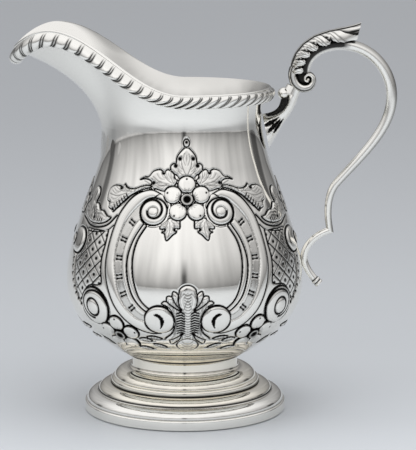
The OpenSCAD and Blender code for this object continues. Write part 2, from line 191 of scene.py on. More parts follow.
def bowl_section(runs, depth):
    """Radius and height on the bowl at runs along its profile, moved in by depth."""
    steps = (0, SLOPE_STEP, -SLOPE_STEP)
    here, ahead, behind = (sampled(np.clip(runs + k, 0, BOWL_LENGTH), BOWL_RUN, BOWL) for k in steps)
    return offset_section(here, ahead - behind, depth)


def neck_section(turn, share, depth):
    """Radius and height on the neck at a share of each angle's curve, moved in by depth."""
    curves = neck_curves(turn)
    t = np.broadcast_to(share, turn.shape)
    return offset_section(bezier(curves, t), bezier_slope(curves, t), depth)


def neck_share(turn, runs):
    """The share of each angle's neck curve that lies a run above the neck's ring."""
    curves = neck_curves(turn)
    t = np.linspace(0, 1, NECK_STEPS + 1)
    lengths = run_along(np.stack([bezier(curves, np.full(turn.shape, k)) for k in t]))
    return np.stack([np.interp(runs, lengths[:, i], t) for i in range(len(turn))], -1)


def place(section, turn):
    """Points in space from radius and height at angles from the handle."""
    return np.stack([section[..., 0] * np.cos(turn), section[..., 0] * np.sin(turn), section[..., 1]], -1)


# Mesh tools: a primitive gives the topology, and its points are then moved to the worked shape


def select_only(*pieces):
    """Leaves edit mode and selects these pieces alone, with the first of them active."""
    if bpy.context.object and bpy.context.object.mode != "OBJECT":
        bpy.ops.object.mode_set(mode="OBJECT")
    bpy.ops.object.select_all(action="DESELECT")
    for piece in pieces:
        piece.select_set(True)
    if pieces:
        bpy.context.view_layer.objects.active = pieces[0]


def edit_whole():
    """Enters edit mode with the whole of the active mesh selected."""
    bpy.ops.object.mode_set(mode="EDIT")
    bpy.ops.mesh.select_all(action="SELECT")


def new_grid(name, rows, columns):
    """A flat grid with so many rows and columns of points."""
    select_only()
    bpy.ops.mesh.primitive_grid_add(x_subdivisions=columns - 1, y_subdivisions=rows - 1, size=2)
    piece = bpy.context.object
    piece.name = piece.data.name = name
    return piece


def read_points(piece):
    """The mesh's points as an array."""
    co = np.empty(len(piece.data.vertices) * 3, np.float32)
    piece.data.vertices.foreach_get("co", co)
    return co.reshape(-1, 3).astype(float)


def write_points(piece, points, oxide_and_shade):
    """Moves the mesh's points, given in millimetres, and stores how dark each one is with tarnish and
    painted shade.
    """
    piece.data.vertices.foreach_set("co", (np.asarray(points) * MM).astype(np.float32).ravel())
    dark = piece.data.attributes.new("oxide_and_shade", "FLOAT", "POINT")
    dark.data.foreach_set("value", np.asarray(oxide_and_shade).astype(np.float32).ravel())
    piece.data.update()


def turn_outward(piece):
    """Flips a closed mesh whose faces point inwards."""
    mesh = piece.data
    mesh.calc_loop_triangles()
    corners = np.empty(len(mesh.loop_triangles) * 3, np.int32)
    mesh.loop_triangles.foreach_get("vertices", corners)
    a, b, c = (read_points(piece)[corners.reshape(-1, 3)[:, k]] for k in range(3))
    if np.einsum("ij,ij->i", a, np.cross(b, c)).sum() < 0:
        edit_whole()
        bpy.ops.mesh.flip_normals()
        bpy.ops.object.mode_set(mode="OBJECT")


def wrapped(name, points, oxide_and_shade):
    """A closed mesh from rows of points whose ends meet: a grid moved to them, with its doubles merged."""
    rows, columns = points.shape[:2]
    piece = new_grid(name, rows, columns)
    column, row, _ = grid_places(piece, rows, columns)
    write_points(piece, points[row, column], oxide_and_shade[row, column])
    edit_whole()
    bpy.ops.mesh.remove_doubles(threshold=MERGE)
    bpy.ops.object.mode_set(mode="OBJECT")
    turn_outward(piece)
    return piece


def grid_places(piece, rows, columns):
    """Column and row of each point of a grid, and which points lie on its lower side."""
    co = read_points(piece)
    column = np.rint((co[:, 0] + 1) / 2 * (columns - 1)).astype(int)
    row = np.rint((co[:, 1] + 1) / 2 * (rows - 1)).astype(int)
    return column, row, co[:, 2] < 0.5


def loft(name, rings, oxide_and_shade, poles=None):
    """A closed skin over rings of points, with a pole at each end."""
    rings = np.asarray(rings, float)
    first, last = (rings[0].mean(0), rings[-1].mean(0)) if poles is None else poles
    ends = [np.broadcast_to(pole, (1, *rings.shape[1:])) for pole in (first, last)]
    rows = np.concatenate([ends[0], rings, ends[1]])
    dark = np.concatenate([oxide_and_shade[:1], oxide_and_shade, oxide_and_shade[-1:]])
    return wrapped(name, np.hstack([rows, rows[:, :1]]), np.hstack([dark, dark[:, :1]]))


def closed_loft(name, sections, oxide_and_shade):
    """A closed skin over sections that run round and meet."""
    points = np.hstack([sections, sections[:, :1]])
    dark = np.hstack([oxide_and_shade, oxide_and_shade[:, :1]])
    return wrapped(name, np.vstack([points, points[:1]]), np.vstack([dark, dark[:1]]))


def blank_plate(name, rows, columns, block):
    """A flat plate: a grid is given a back, whose faces are joined into blocks."""
    piece = new_grid(name, rows, columns)
    edit_whole()
    bpy.ops.mesh.extrude_region_move(TRANSFORM_OT_translate={"value": (0, 0, 1)})
    bpy.ops.object.mode_set(mode="OBJECT")
    column, row, back = grid_places(piece, rows, columns)
    ends = np.empty(len(piece.data.edges) * 2, np.int32)
    piece.data.edges.foreach_get("vertices", ends)
    a, b = ends.reshape(-1, 2).T
    along_row = (row[a] == row[b]) & (row[a] % block != 0) & (row[a] != rows - 1)
    along_column = (column[a] == column[b]) & (column[a] % block != 0) & (column[a] != columns - 1)
    bpy.ops.object.mode_set(mode="EDIT")
    bpy.ops.mesh.select_all(action="DESELECT")
    bpy.ops.mesh.select_mode(type="EDGE")
    bpy.ops.object.mode_set(mode="OBJECT")
    piece.data.edges.foreach_set("select", back[a] & back[b] & (along_row | along_column))
    bpy.ops.object.mode_set(mode="EDIT")
    bpy.ops.mesh.dissolve_edges(use_verts=True)
    bpy.ops.mesh.select_mode(type="VERT")
    bpy.ops.object.mode_set(mode="OBJECT")
    return piece


def copy_of(piece, name):
    """A copy of a piece with its own mesh."""
    select_only(piece)
    bpy.ops.object.duplicate(linked=False)
    twin = bpy.context.object
    twin.name = twin.data.name = name
    return twin


def shape_plate(piece, outer, inner, oxide_and_shade):
    """Moves a flat plate's two sides to their places."""
    rows, columns = outer.shape[:2]
    column, row, back = grid_places(piece, rows, columns)
    points = np.where(back[:, None], inner[row, column], outer[row, column])
    write_points(piece, points, np.where(back, 0, oxide_and_shade[row, column]))
    select_only(piece)
    turn_outward(piece)


def finish_piece(piece, material, crease, node=None):
    """Smooths a piece up to a crease angle in degrees, coats it, and hangs it on the frame."""
    select_only(piece)
    bpy.ops.object.shade_smooth_by_angle(angle=math.radians(crease))
    piece.data.materials.clear()
    piece.data.materials.append(material)
    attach(piece, "root")
    if node:
        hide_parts(node)


# Materials


def add_node(tree, kind, links=None, stops=(), **settings):
    """Adds a shader node with its links or values, a ramp's grey stops, and settings; gives its outputs."""
    new = tree.nodes.new("ShaderNode" + kind)
    for key, value in settings.items():
        setattr(new, key, value)
    for socket, source in (links or {}).items():
        if isinstance(source, bpy.types.NodeSocket):
            tree.links.new(source, new.inputs[socket])
        else:
            new.inputs[socket].default_value = source
    if stops:
        elements = new.color_ramp.elements
        elements[0].position, elements[1].position = stops[0][0], stops[-1][0]
        for position, _ in stops[1:-1]:
            elements.new(position)
        for element, (_, grey) in zip(elements, stops):
            element.color = (grey, grey, grey, 1)
    return new.outputs


# Width of the clouds in the polish, and length and distance of the hairline scratches, in millimetres
CLOUD = 11.765
SCRATCH_LENGTH = 2.381
SCRATCH_GAP = 0.4545
# Heights in millimetres between which the painted warm reflection of the bowl's underside sets in on the
# foot
REFLECTION_FROM = 6.8
REFLECTION_FULL = 8.2


def silver(name, polish, tarnish_and_shade_share, painted_reflection=0.0):
    """Sterling silver, hammered, drawn, spun or cast and then hand polished.

    It is near white and mirror bright where the buff reaches, and straw coloured in the waist below the
    bowl, where a warm second reflection of the bowl's underside is painted on the foot. It is brown black
    from oxidising in the chased lines, and where shade is painted in hollows, corners and under the leaf.
    Clouds and hairlines break the mirror up.
    """
    found = bpy.data.materials.get(name)
    if found:
        return found
    jug = bpy.context.scene.cream_jug
    material = bpy.data.materials.new(name)
    material.use_nodes = True
    tree = material.node_tree
    tree.nodes.clear()
    where = add_node(tree, "TexCoord")["Object"]
    oxide_and_shade = add_node(tree, "Attribute", attribute_name="oxide_and_shade")["Fac"]
    # Cloudy wear of the polish
    cloud = add_node(tree, "TexNoise", {"Vector": where, "Scale": 1 / (CLOUD * MM), "Detail": 3.0})["Fac"]
    # Hairline scratches from wiping, drawn further apart than real ones so that they show
    length, gap = 1 / (SCRATCH_LENGTH * MM), 1 / (SCRATCH_GAP * MM)
    stretched = add_node(tree, "Mapping", {"Vector": where, "Scale": (length, length, gap)})
    hair = add_node(tree, "TexNoise", {"Vector": stretched[0], "Scale": 1.0, "Detail": 2.0})
    # Where the tarnish and the painted shade lie: the stored marks, broken up a little by the cloud
    broken = add_node(tree, "Math", {0: cloud, 1: 0.5, 2: 1.1}, operation="MULTIPLY_ADD")
    dark = add_node(tree, "Math", {0: oxide_and_shade, 1: broken[0]}, operation="MULTIPLY", use_clamp=True)
    share = add_node(tree, "Math", {0: dark[0], 1: tarnish_and_shade_share}, operation="MULTIPLY")
    # A warm reflection of the bowl's underside painted on the foot, thicker in some clouds than in others
    height = add_node(tree, "SeparateXYZ", {0: where})["Z"]
    in_reflection = add_node(tree, "MapRange", {0: height, 1: REFLECTION_FROM * MM, 2: REFLECTION_FULL * MM, 4: painted_reflection})
    patchy = add_node(tree, "Math", {0: cloud, 1: 0.8, 2: 0.6}, operation="MULTIPLY_ADD")
    reflection_share = add_node(tree, "Math", {0: in_reflection[0], 1: patchy[0]}, operation="MULTIPLY")
    reflected_colour = {0: reflection_share[0], 6: (*jug.silver_colour, 1), 7: (*jug.painted_reflection_colour, 1)}
    reflected_colour = add_node(tree, "Mix", reflected_colour, data_type="RGBA")
    colour = {0: share[0], 6: reflected_colour[2], 7: (*jug.tarnish_and_shade_colour, 1)}
    colour = add_node(tree, "Mix", colour, data_type="RGBA")
    # Roughness: the polish's own, 0.03 more or less by the clouds, and 0.4 more under full tarnish and
    # painted shade
    worn = add_node(tree, "Math", {0: cloud, 1: 0.06, 2: polish - 0.03}, operation="MULTIPLY_ADD")
    rough = add_node(tree, "Math", {0: share[0], 1: 0.4, 2: worn[0]}, operation="MULTIPLY_ADD")
    relief = add_node(tree, "Bump", {"Strength": 0.04, "Distance": 0.02 * MM, "Height": hair["Fac"]})
    surface = {"Base Color": colour[2], "Metallic": 1.0, "Roughness": rough[0], "Normal": relief[0]}
    shader = add_node(tree, "BsdfPrincipled", surface)
    add_node(tree, "OutputMaterial", {"Surface": shader[0]})
    return material


# Chased ornament, drawn unrolled: side run from a cartouche's middle, and run up the profile from the seat


class Relief:
    """A field of heights and darkness, worked by motifs in order, each over what lies under it; the darkness
    is tarnish in chased lines, and painted shade in one cut crescent.
    """

    def __init__(self, side, run, shrink):
        self.side = side
        self.run = run
        self.shrink = shrink
        self.height = np.zeros(side.shape)
        self.dark = np.zeros(side.shape)

    def near(self, points, reach):
        """The field's points close to a line."""
        # Wider to the sides, because the drawing shrinks there where the bowl narrows
        margin = reach * np.array([1.6, 1])
        low, high = np.min(points, 0) - margin, np.max(points, 0) + margin
        inside = (self.side > low[0]) & (self.side < high[0]) & (self.run > low[1]) & (self.run < high[1])
        return np.flatnonzero(inside)

    def distance(self, line, here):
        """Distance in millimetres from the field's points to a line."""
        side, run, k = self.side[here], self.run[here], self.shrink[here]
        best = np.full(len(here), 1e9)
        for a, b in zip(line[:-1], line[1:]):
            dx = (b[0] - a[0]) * k
            dy = b[1] - a[1]
            px = (side - a[0]) * k
            py = run - a[1]
            t = np.clip((px * dx + py * dy) / (dx * dx + dy * dy + 1e-9), 0, 1)
            best = np.minimum(best, (px - t * dx) ** 2 + (py - t * dy) ** 2)
        return np.sqrt(best)

    def inside(self, outline, here):
        """Which of the field's points lie inside a closed line."""
        side, run = self.side[here], self.run[here]
        odd = np.zeros(len(here), bool)
        for a, b in zip(outline, np.roll(outline, -1, 0)):
            if a[1] == b[1]:
                continue
            crosses = (a[1] > run) != (b[1] > run)
            odd ^= crosses & (side < (b[0] - a[0]) * (run - a[1]) / (b[1] - a[1]) + a[0])
        return odd

    def strike(self, here, d, depth, dark):
        """Lowers and darkens points by their distance from a struck line, counted in its half widths."""
        self.height[here] -= depth * fade(d)
        self.dark[here] = np.maximum(self.dark[here], dark * fade(0.92 * d, 4))

    def groove(self, line, width=0.24, depth=0.2, dark=1.0):
        """A line struck with a tracer: a valley, dark along its bottom."""
        line = np.asarray(line, float)
        here = self.near(line, 3 * width)
        self.strike(here, self.distance(line, here) / width, depth, dark)

    def field(self, outline):
        """The points inside an outline."""
        here = self.near(outline, 0.1)
        return here[self.inside(outline, here)]

    def raised(self, outline, height, edge, line=0.26):
        """A field raised from behind, with a rolled edge and a struck outline."""
        outline = np.asarray(outline, float)
        ring = np.vstack([outline, outline[:1]])
        here = self.field(outline)
        s = ramp(self.distance(ring, here), 0, edge)
        self.height[here] = height * np.sqrt(1 - (1 - s) ** 2)
        self.dark[here] = 0
        self.groove(ring, line, 0.25)

    def cut(self, outline, depth):
        """A field cut in with a graver and painted dark as shade."""
        here = self.field(smooth_line(outline, 4))
        self.height[here] -= depth
        self.dark[here] = 1

    def band(self, one, other, height, base=0.0, dark=0.0):
        """A half round moulding between two lines."""
        one, other = np.asarray(one, float), np.asarray(other, float)
        here = self.field(np.vstack([one, other[::-1]]))
        a, b = self.distance(one, here), self.distance(other, here)
        across = (a - b) / (a + b + 1e-6)
        self.height[here] = base + height * np.sqrt(np.maximum(0, 1 - across * across))
        self.dark[here] = dark

    def dome(self, centre, radius, height, base=0.0, stretch=1.0, turn=0.0, line=0.26, dark=1.0, flat=2):
        """A round or oval boss with a struck outline; a higher flat gives a flatter top."""
        centre = np.asarray(centre, float)
        here = self.near(centre[None], radius * max(1, stretch) + 3 * line)
        x = (self.side[here] - centre[0]) * self.shrink[here]
        y = self.run[here] - centre[1]
        c, s = math.cos(turn), math.sin(turn)
        e = np.hypot((c * x + s * y) / (radius * stretch), (c * y - s * x) / radius)
        within = e < 1
        self.height[here[within]] = base + height * np.sqrt(1 - e[within] ** flat)
        self.dark[here[within]] = 0
        self.strike(here, (e - 1) * radius * min(1, stretch) / line, 0.25, dark)

    def pit(self, centre, radius=0.74, depth=0.4):
        """A dark drilled or punched dot."""
        centre = np.asarray(centre, float)
        here = self.near(centre[None], 3 * radius)
        x = (self.side[here] - centre[0]) * self.shrink[here]
        self.strike(here, np.hypot(x, self.run[here] - centre[1]) / radius, depth, 1.0)


def spiral(centre, radii, first, turns, shrink, steps=60):
    """A curl about a centre, its radius taken from a list along it; first is its first angle in degrees."""
    t = np.linspace(0, 1, steps)
    r = np.interp(t, np.linspace(0, 1, len(radii)), radii)
    q = np.radians(first) + 2 * math.pi * turns * t
    return np.stack([centre[0] + r * np.cos(q) / shrink, centre[1] + r * np.sin(q)], -1)


def flower(relief, centre, size, shrink):
    """A five petalled flower with a ringed eye."""
    centre = np.array(centre)
    for k in range(5):
        q = math.radians(90 + 72 * k)
        way = size * np.array([math.cos(q) / shrink, math.sin(q)])
        relief.dome(centre + 5.45 * way, 3.25 * size, 0.6, base=0.25, flat=4, line=0.28)
        for turn in (-0.5, -0.2, 0.1, 0.4):
            fold = size * np.array([math.cos(q + turn) / shrink, math.sin(q + turn)])
            relief.groove([centre + 2.8 * way, centre + 4.0 * fold], 0.16, 0.05, 0.35)
        relief.pit(centre + 7.5 * way, 0.34, 0.12)
    relief.dome(centre, 2.4 * size, 0.5, base=0.75, flat=4, line=0.4)
    relief.pit(centre, 1.45 * size, 0.9)


def leaf(relief, outline, root, dots, height=0.6):
    """A chased leaf: a raised field, hatched in a fan from its root, with dots where its lobes part."""
    outline = smooth_line(outline, 4)
    relief.raised(outline, height, 1.4)
    root = np.array(root, float)
    for k, tip in enumerate(outline[::3]):
        way = tip - root
        bow = 0.06 * np.array([way[1], -way[0]])
        first, last = (0.2, 0.86) if k % 3 == 0 else (0.45, 0.8)
        line = [root + first * way, root + 0.5 * (first + last) * way + bow, root + last * way]
        relief.groove(smooth_line(line, 4), 0.17, 0.07, 0.5 if k % 3 == 0 else 0.32)
    for dot in dots:
        relief.pit(dot)


def spray(relief, root, tip, half):
    """A lance shaped leaf with a midrib and a dot at its root."""
    root, tip = np.array(root, float), np.array(tip, float)
    out = half * unit(np.array([root[1] - tip[1], tip[0] - root[0]]))
    middle = 0.45 * root + 0.55 * tip
    relief.raised(smooth_line([root, middle + out, tip, middle - out], 5), 0.45, 1.0)
    relief.groove([root, 0.2 * root + 0.8 * tip], 0.2, 0.1, 0.7)
    for share in (0.35, 0.5, 0.65):
        at = (1 - share) * root + share * tip
        for sign in (-1, 1):
            relief.groove([at, at + 0.12 * (tip - root) + 0.55 * sign * out], 0.16, 0.06, 0.4)
    relief.pit(0.9 * root + 0.1 * tip, 0.5)


def cartouche(relief):
    """Half of a cartouche: C scroll, flower, leaves and acanthus, from its middle line to its side."""
    # Leaves behind the flower: one upright with a knot over it, one to the side, one below
    leaf(
        relief,
        [(-4, 96.6), (0, 96.6), (2.6, 95.2), (4.9, 92.9), (5.4, 90.6), (6.8, 90.5), (8.1, 89.4),
         (7.9, 87.8), (6.6, 86.4), (4.4, 85.4), (0, 84), (-4, 84)],
        (0, 84.6),
        [(3.4, 92.2), (5.5, 89.6), (5.4, 86)],
    )
    relief.dome((0, 97.9), 1.5, 0.5, stretch=0.8)
    relief.pit((0, 98.2), 0.6)
    leaf(
        relief,
        [(4.4, 84), (5.8, 86.2), (7.6, 87.7), (9.6, 88.3), (11.4, 87.4), (13.6, 88.3), (16.8, 87.5),
         (18.8, 85.6), (21.2, 85.2), (23.6, 84.1), (20.6, 84.6), (17.6, 83.9), (17.2, 82.3),
         (15.8, 80.9), (12.6, 80.2), (8, 80.2)],
        (6, 82.2),
        [(11.4, 87), (5.4, 85.4), (16.1, 83.2)],
    )
    leaf(
        relief,
        [(6.8, 71), (3.4, 70), (3, 68.6), (3.1, 66.8), (4.6, 66.7), (4.4, 65.4), (6, 64.3), (8.3, 62.3),
         (9.3, 64.8), (10.4, 65.2), (9.8, 66.3), (11.3, 66.6), (11.2, 68.4)],
        (7.2, 70.4),
        [(5, 66.3), (9.4, 66.1)],
    )
    # C scroll: outer moulding, channel with struck pairs of ticks, two inner mouldings
    outer = smooth_line(
        [(11.9, 79.6), (16.4, 80.9), (21.9, 79.8), (26, 77.5), (28.8, 74.6), (31.2, 70.7), (32.5, 66),
         (33.2, 60), (33.3, 54.1), (32.7, 49.3), (31, 43.6), (28.2, 37.4), (24.6, 32.6), (19.8, 28.9),
         (14.4, 27.1), (10.6, 27.3)]
    )
    rim = smooth_line(
        [(15.5, 77.6), (19.6, 76.2), (23.9, 72.6), (27.2, 67.7), (28.9, 60.1), (29.1, 54), (27.8, 48.1),
         (26, 42.2), (23.3, 37.6), (19.6, 34), (15.3, 32.2), (12, 31.6)]
    )
    floor = smooth_line(
        [(18.6, 71.2), (20.8, 69.4), (23.1, 66.2), (25.4, 59.8), (25.7, 53.7), (24.6, 47.8),
         (22.6, 41.9), (20.4, 37.8), (17.5, 35.2), (14.6, 34.2)]
    )
    first = smooth_line(
        [(17, 69.8), (18.2, 68.3), (21.6, 62.6), (23.4, 55.8), (22.9, 49.2), (20.8, 42.7), (18.6, 39.3),
         (16.1, 36.9), (14, 35.6)]
    )
    second = smooth_line(
        [(15.6, 68.9), (16.9, 67.5), (20.1, 62.1), (21.3, 55.9), (20.7, 49.4), (18.9, 43.5), (17, 40),
         (14.2, 37.4), (12.6, 36.4)]
    )
    relief.band(first, second, 0.45)
    relief.band(floor, first, 0.7)
    relief.band(rim, floor, -0.25, base=0.35, dark=0.16)
    relief.band(outer, rim, 0.75)
    for line in (second, first):
        relief.groove(line, 0.28, 0.25)
    for line in (floor, rim):
        relief.groove(line, 0.2, 0.25, 0.4)
    relief.groove(outer, 0.5, 0.25)
    for middle, lean in [
        ((23.9, 68.2), 0.5),
        ((26.4, 61.8), 0.25),
        ((27.2, 55), 0),
        ((26.2, 48.2), -0.2),
        ((24, 42.2), -0.4),
        ((20.6, 37.4), -0.7),
    ]:
        across = np.array([math.cos(lean), math.sin(lean)])
        along = np.array([-math.sin(lean), math.cos(lean)])
        for up in (-0.62, 0.62):
            at = np.array(middle) + up * along
            relief.groove([at - across, at + across], 0.26, 0.18)
            for end in (-1, 1):
                relief.pit(at + end * across, 0.46, 0.25)
    # Upper volute with its boss, and the bulb with a crescent of painted shade at the lower end
    centre = (14.8, 72.5)
    relief.dome(centre, 5.2, 0.85, base=0.25, line=0.34)
    relief.groove(spiral(centre, (8.4, 5.5, 5.0, 4.8, 4.5, 3.2, 2.3, 2.1), 90, 1.75, 0.835), 0.42, 0.45)
    relief.dome(centre, 1.9, 0.6, base=0.6, line=0.2, dark=0.4)
    relief.dome((10.4, 33.2), 5.5, 0.9, base=0.3, line=0.34, flat=3)
    relief.cut(
        [(12.4, 35.6), (10.8, 36), (9.2, 35), (8.6, 33.3), (9.1, 31.4), (10.1, 30.1), (9.9, 32),
         (9.9, 33.4), (10.5, 34.6)],
        0.2,
    )
    # Acanthus at the foot of the cartouche: palmette, waisted stem and spread foot, then a knob below
    leaf(
        relief,
        [(-4, 46.4), (0, 46.4), (1.6, 46), (2.9, 44.8), (3.3, 43), (4.2, 43.8), (5.3, 44), (5.7, 42.4),
         (6.5, 42.4), (7.5, 42.1), (7.7, 40.5), (8.6, 40.4), (9.4, 39.5), (7.6, 38.6), (6.2, 36.9),
         (5.2, 34.6), (4.8, 32), (5.2, 29.4), (6.4, 27), (9, 24.6), (7.4, 23.9), (7, 21.4), (4.4, 21.4),
         (0, 20.8), (-4, 20.8)],
        (3.4, 33),
        [],
    )
    for line in [
        [(2.5, 37.5), (3.2, 40), (3.3, 42.9)],
        [(2.6, 37.7), (4.3, 39.6), (5.6, 42.2)],
        [(3, 37.2), (5.2, 38.6), (7.6, 40.5)],
        [(2.2, 27.4), (3.4, 24.6), (7, 21.4)],
        [(2.2, 27.4), (4.6, 25.6), (7.6, 24)],
    ]:
        relief.groove(smooth_line(line), 0.26)
    for k in range(9):
        up = 27.9 + 1.02 * k
        relief.groove([(1.3, up), (2.4, up + 0.6), (3.9, up + 0.1)], 0.3, 0.15)
    for k in range(17):
        up = 25.2 + 1.1 * k
        relief.groove([(0, up), (0.6, up + 0.1), (1.15, up + 0.6)], 0.18, 0.1, 0.6)
    for k in range(3):
        line = smooth_line([(6.6 - 0.6 * k, 37.6), (4.6 - 0.25 * k, 32), (6 - 0.6 * k, 27.2)])
        relief.groove(line, 0.17, 0.08, 0.5)
    relief.dome((0, 20.9), 3.9, 0.6, flat=3, line=0.3)
    for k in range(3):
        relief.groove([(0, 18.6 + 1.7 * k), (1.2, 18.8 + 1.7 * k), (2.2, 20 + 1.7 * k)], 0.18, 0.08, 0.5)
    for spot in [(2.5, 37.5), (2.2, 27.4)]:
        relief.pit(spot, 0.7)
    # Leaf sprays towards the lower flowers
    spray(relief, (9.2, 23.8), (16.8, 24.9), 1.1)
    spray(relief, (13.8, 22.4), (20.6, 23.4), 1.3)
    spray(relief, (8, 18), (15, 20.8), 1.2)
    spray(relief, (14.9, 16.8), (23, 17.8), 1.3)


def trellis_side(relief):
    """Half of a side panel, from the cartouche's side to the panel's own middle line."""
    far = QUARTER
    # The trellis: two families of lines with a dot in each cell, 6.6 mm across and 5.9 mm up
    outline = smooth_line(
        [(35.3, 64), (35.3, 58.8), (35.8, 54.3), (35.4, 49.8), (34.4, 45.1), (36.6, 43.9), (41, 43.2),
         (44.6, 40), (46.8, 37), (48.8, 38.8), (50.6, 43), (52, 47.6), (52.4, 51.6), (50, 53.4),
         (47.6, 57), (47.6, 61), (49.6, 63.4), (44, 63.6), (39, 63.8)],
        4,
    )
    relief.raised(outline, 0.2, 0.5)
    here = relief.field(outline)
    across, up = 6.6, 5.9
    slope = math.hypot(1 / across, 1 / up)
    one = relief.side[here] / across + relief.run[here] / up - 0.4
    two = relief.side[here] / across - relief.run[here] / up - 0.3
    for family, width, dark in ((one, 0.26, 1.0), (two, 0.22, 0.8)):
        relief.strike(here, np.abs(family - np.rint(family)) / slope / width, 0.15, dark)
    gap = np.hypot(one - np.floor(one) - 0.5, two - np.floor(two) - 0.5) / slope
    relief.strike(here, gap / 0.64, 0.2, 1.0)
    # Scroll that comes down beside the trellis and curls under it, with a dotted line along it
    outer = smooth_line([(58.6, 54), (57.6, 48), (55.4, 41.5), (51.5, 35), (46, 30), (39.2, 28.1)])
    inner = smooth_line([(53.6, 53), (53.2, 48.6), (51.8, 43.4), (49.4, 38.4), (46.4, 35.2), (43.4, 33.4)])
    relief.band(outer, inner, 0.55)
    relief.groove(outer, 0.3)
    relief.groove(inner, 0.22, 0.15, 0.7)
    for dot in smooth_line([(54.7, 51.4), (53.6, 46), (51.6, 41.2), (48.8, 37), (45, 33.8)], 2):
        relief.pit(dot, 0.42, 0.25)
    centre = (38.4, 35.7)
    relief.dome(centre, 7.2, 0.8, base=0.3, line=0.38, flat=3)
    relief.groove(spiral(centre, (7.4, 6.6, 6.0, 5.7, 5.0, 4.2), 200, -0.8, 0.97), 0.42, 0.4)
    relief.dome(centre, 3.2, 1.0, base=0.6, line=0.4)
    # Double line over the trellis, and the drop that hangs from it
    for points, width in [
        ([(58, 67), (53.9, 66.2), (48.8, 64.8), (42.5, 64.7), (36.7, 66.3), (32.6, 70.1)], 0.4),
        ([(52, 64), (47.9, 62.6), (40.7, 63.1), (35.8, 64.4), (33.2, 66.4)], 0.26),
    ]:
        relief.groove(smooth_line(points), width, 0.3)
    drop = smooth_line(
        [(61.2, 60.4), (57, 62.9), (51.6, 62.7), (48.8, 60), (49, 56.5), (52.4, 53.4), (57.6, 53.8),
         (60.6, 56.4), (61.2, 60.4)],
        5,
    )
    relief.raised(drop, 0.9, 2.6, line=0.34)
    relief.dome((58, 58), 1.7, 0.4, base=0.9, stretch=1.3, turn=math.radians(90), line=0.3)
    # Leaf along the top of the C scroll, with ticks along its lower edge
    leaf(
        relief,
        [(15.5, 81.9), (18.9, 82.3), (22.3, 81.7), (25.1, 80.8), (28.2, 80.6), (30.6, 81.1), (31.9, 82),
         (32.8, 80.8), (35.3, 81.2), (38.3, 80.9), (41, 79.6), (41.8, 78), (41.2, 75.5), (39.2, 74.4),
         (38.9, 72.8), (36.6, 72), (35.3, 71.3), (33.2, 73.2), (30.5, 75.4), (27.5, 77.8), (23, 80)],
        (26, 79),
        [(33.1, 80.4), (38.8, 74.3), (35.7, 72.1)],
        0.65,
    )
    for k in range(6):
        at = np.array([34.2 - 1.15 * k, 72.7 + 0.88 * k])
        relief.groove([at, at + [1.0, 1.2]], 0.22, 0.12, 0.9)
    # Leaf with a curled tip over the double line
    leaf(
        relief,
        [(58.6, 70.8), (57.6, 73.4), (56, 76.6), (52.8, 79.2), (49.6, 78.7), (48.2, 76.4), (49.2, 73.2),
         (46.6, 73.4), (44, 71.3), (41.2, 71), (38, 69.4), (35.6, 69), (38, 67.1), (42.5, 66),
         (48.8, 66), (53.6, 67.6)],
        (50, 69),
        [(58, 70.6), (46.4, 67.9)],
        0.65,
    )
    relief.groove(smooth_line([(57, 75.6), (54.8, 75.4), (54.6, 73.6), (57.4, 71.6)]), 0.36, 0.3)
    relief.groove([(48.8, 71.2), (46.6, 68.3)], 0.22)
    for k in range(3):
        relief.groove([(43.4 - 1.4 * k, 66.8), (43.2 - 1.4 * k, 68)], 0.22, 0.12, 0.9)
    # Leaf in the middle of the panel, and a shell between two sprays at its foot
    leaf(
        relief,
        [(60.4, 68), (60, 71.4), (61.4, 74.2), (61, 76.2), (63, 77.4), (64.6, 79), (66.8, 79.4),
         (far, 81.4), (far + 8, 80), (far + 8, 67.4), (far, 67)],
        (far, 68.4),
        [(62, 75), (65.2, 77.6), (61.8, 71.2)],
        0.4,
    )
    relief.dome((far, 22.6), 4.4, 0.7, flat=3)
    for tip in [(far, 18.6), (far - 2, 19.4), (far - 3.6, 21)]:
        relief.groove([(far, 25.6), tip], 0.2, 0.12, 0.7)
    spray(relief, (far - 5, 23), (48, 25), 1.5)
    spray(relief, (far - 6, 18.4), (47, 19.6), 1.4)
    spray(relief, (44.4, 21.4), (39, 16.2), 1.2)


# Runs up the profile between which the panels lie, and the lowest run that is chased
PANEL_LOW = 5.0
PANEL_HIGH = 101.0
CHASED_LOW = 13.5
# Spacing of a panel's rows where it is chased and above that, and points across it
CHASED_STEP = 0.28
PLAIN_STEP = 1.2
PANEL_COLUMNS = 241
# Depth of a panel in the wall, clearance behind it, and points to a side of the blocks on its back
PANEL_DEPTH = 0.35
PANEL_CLEAR = 0.02
PANEL_BLOCK = 24


def panel_rows(dense_high):
    """Runs of a panel's rows: close where it is chased, wide where it is plain."""
    dense = np.arange(CHASED_LOW, dense_high, CHASED_STEP)
    below = np.linspace(PANEL_LOW, dense[0], 25)[:-1]
    count = max(4, int((PANEL_HIGH - dense_high) / PLAIN_STEP))
    above = np.linspace(dense[-1], PANEL_HIGH, count)[1:]
    return np.concatenate([below, dense, above])


def panel_base(turn, runs, depth):
    """Radius and height on the outer wall for rows of runs and columns of angles, moved in by depth."""
    bowl = bowl_section(np.minimum(runs, BOWL_LENGTH), depth)
    bowl = np.repeat(bowl[:, None], len(turn), 1)
    high = runs > BOWL_LENGTH
    shares = neck_share(turn, runs[high] - BOWL_LENGTH)
    for row, share in zip(np.flatnonzero(high), shares):
        bowl[row] = neck_section(turn, share, depth)
    return bowl


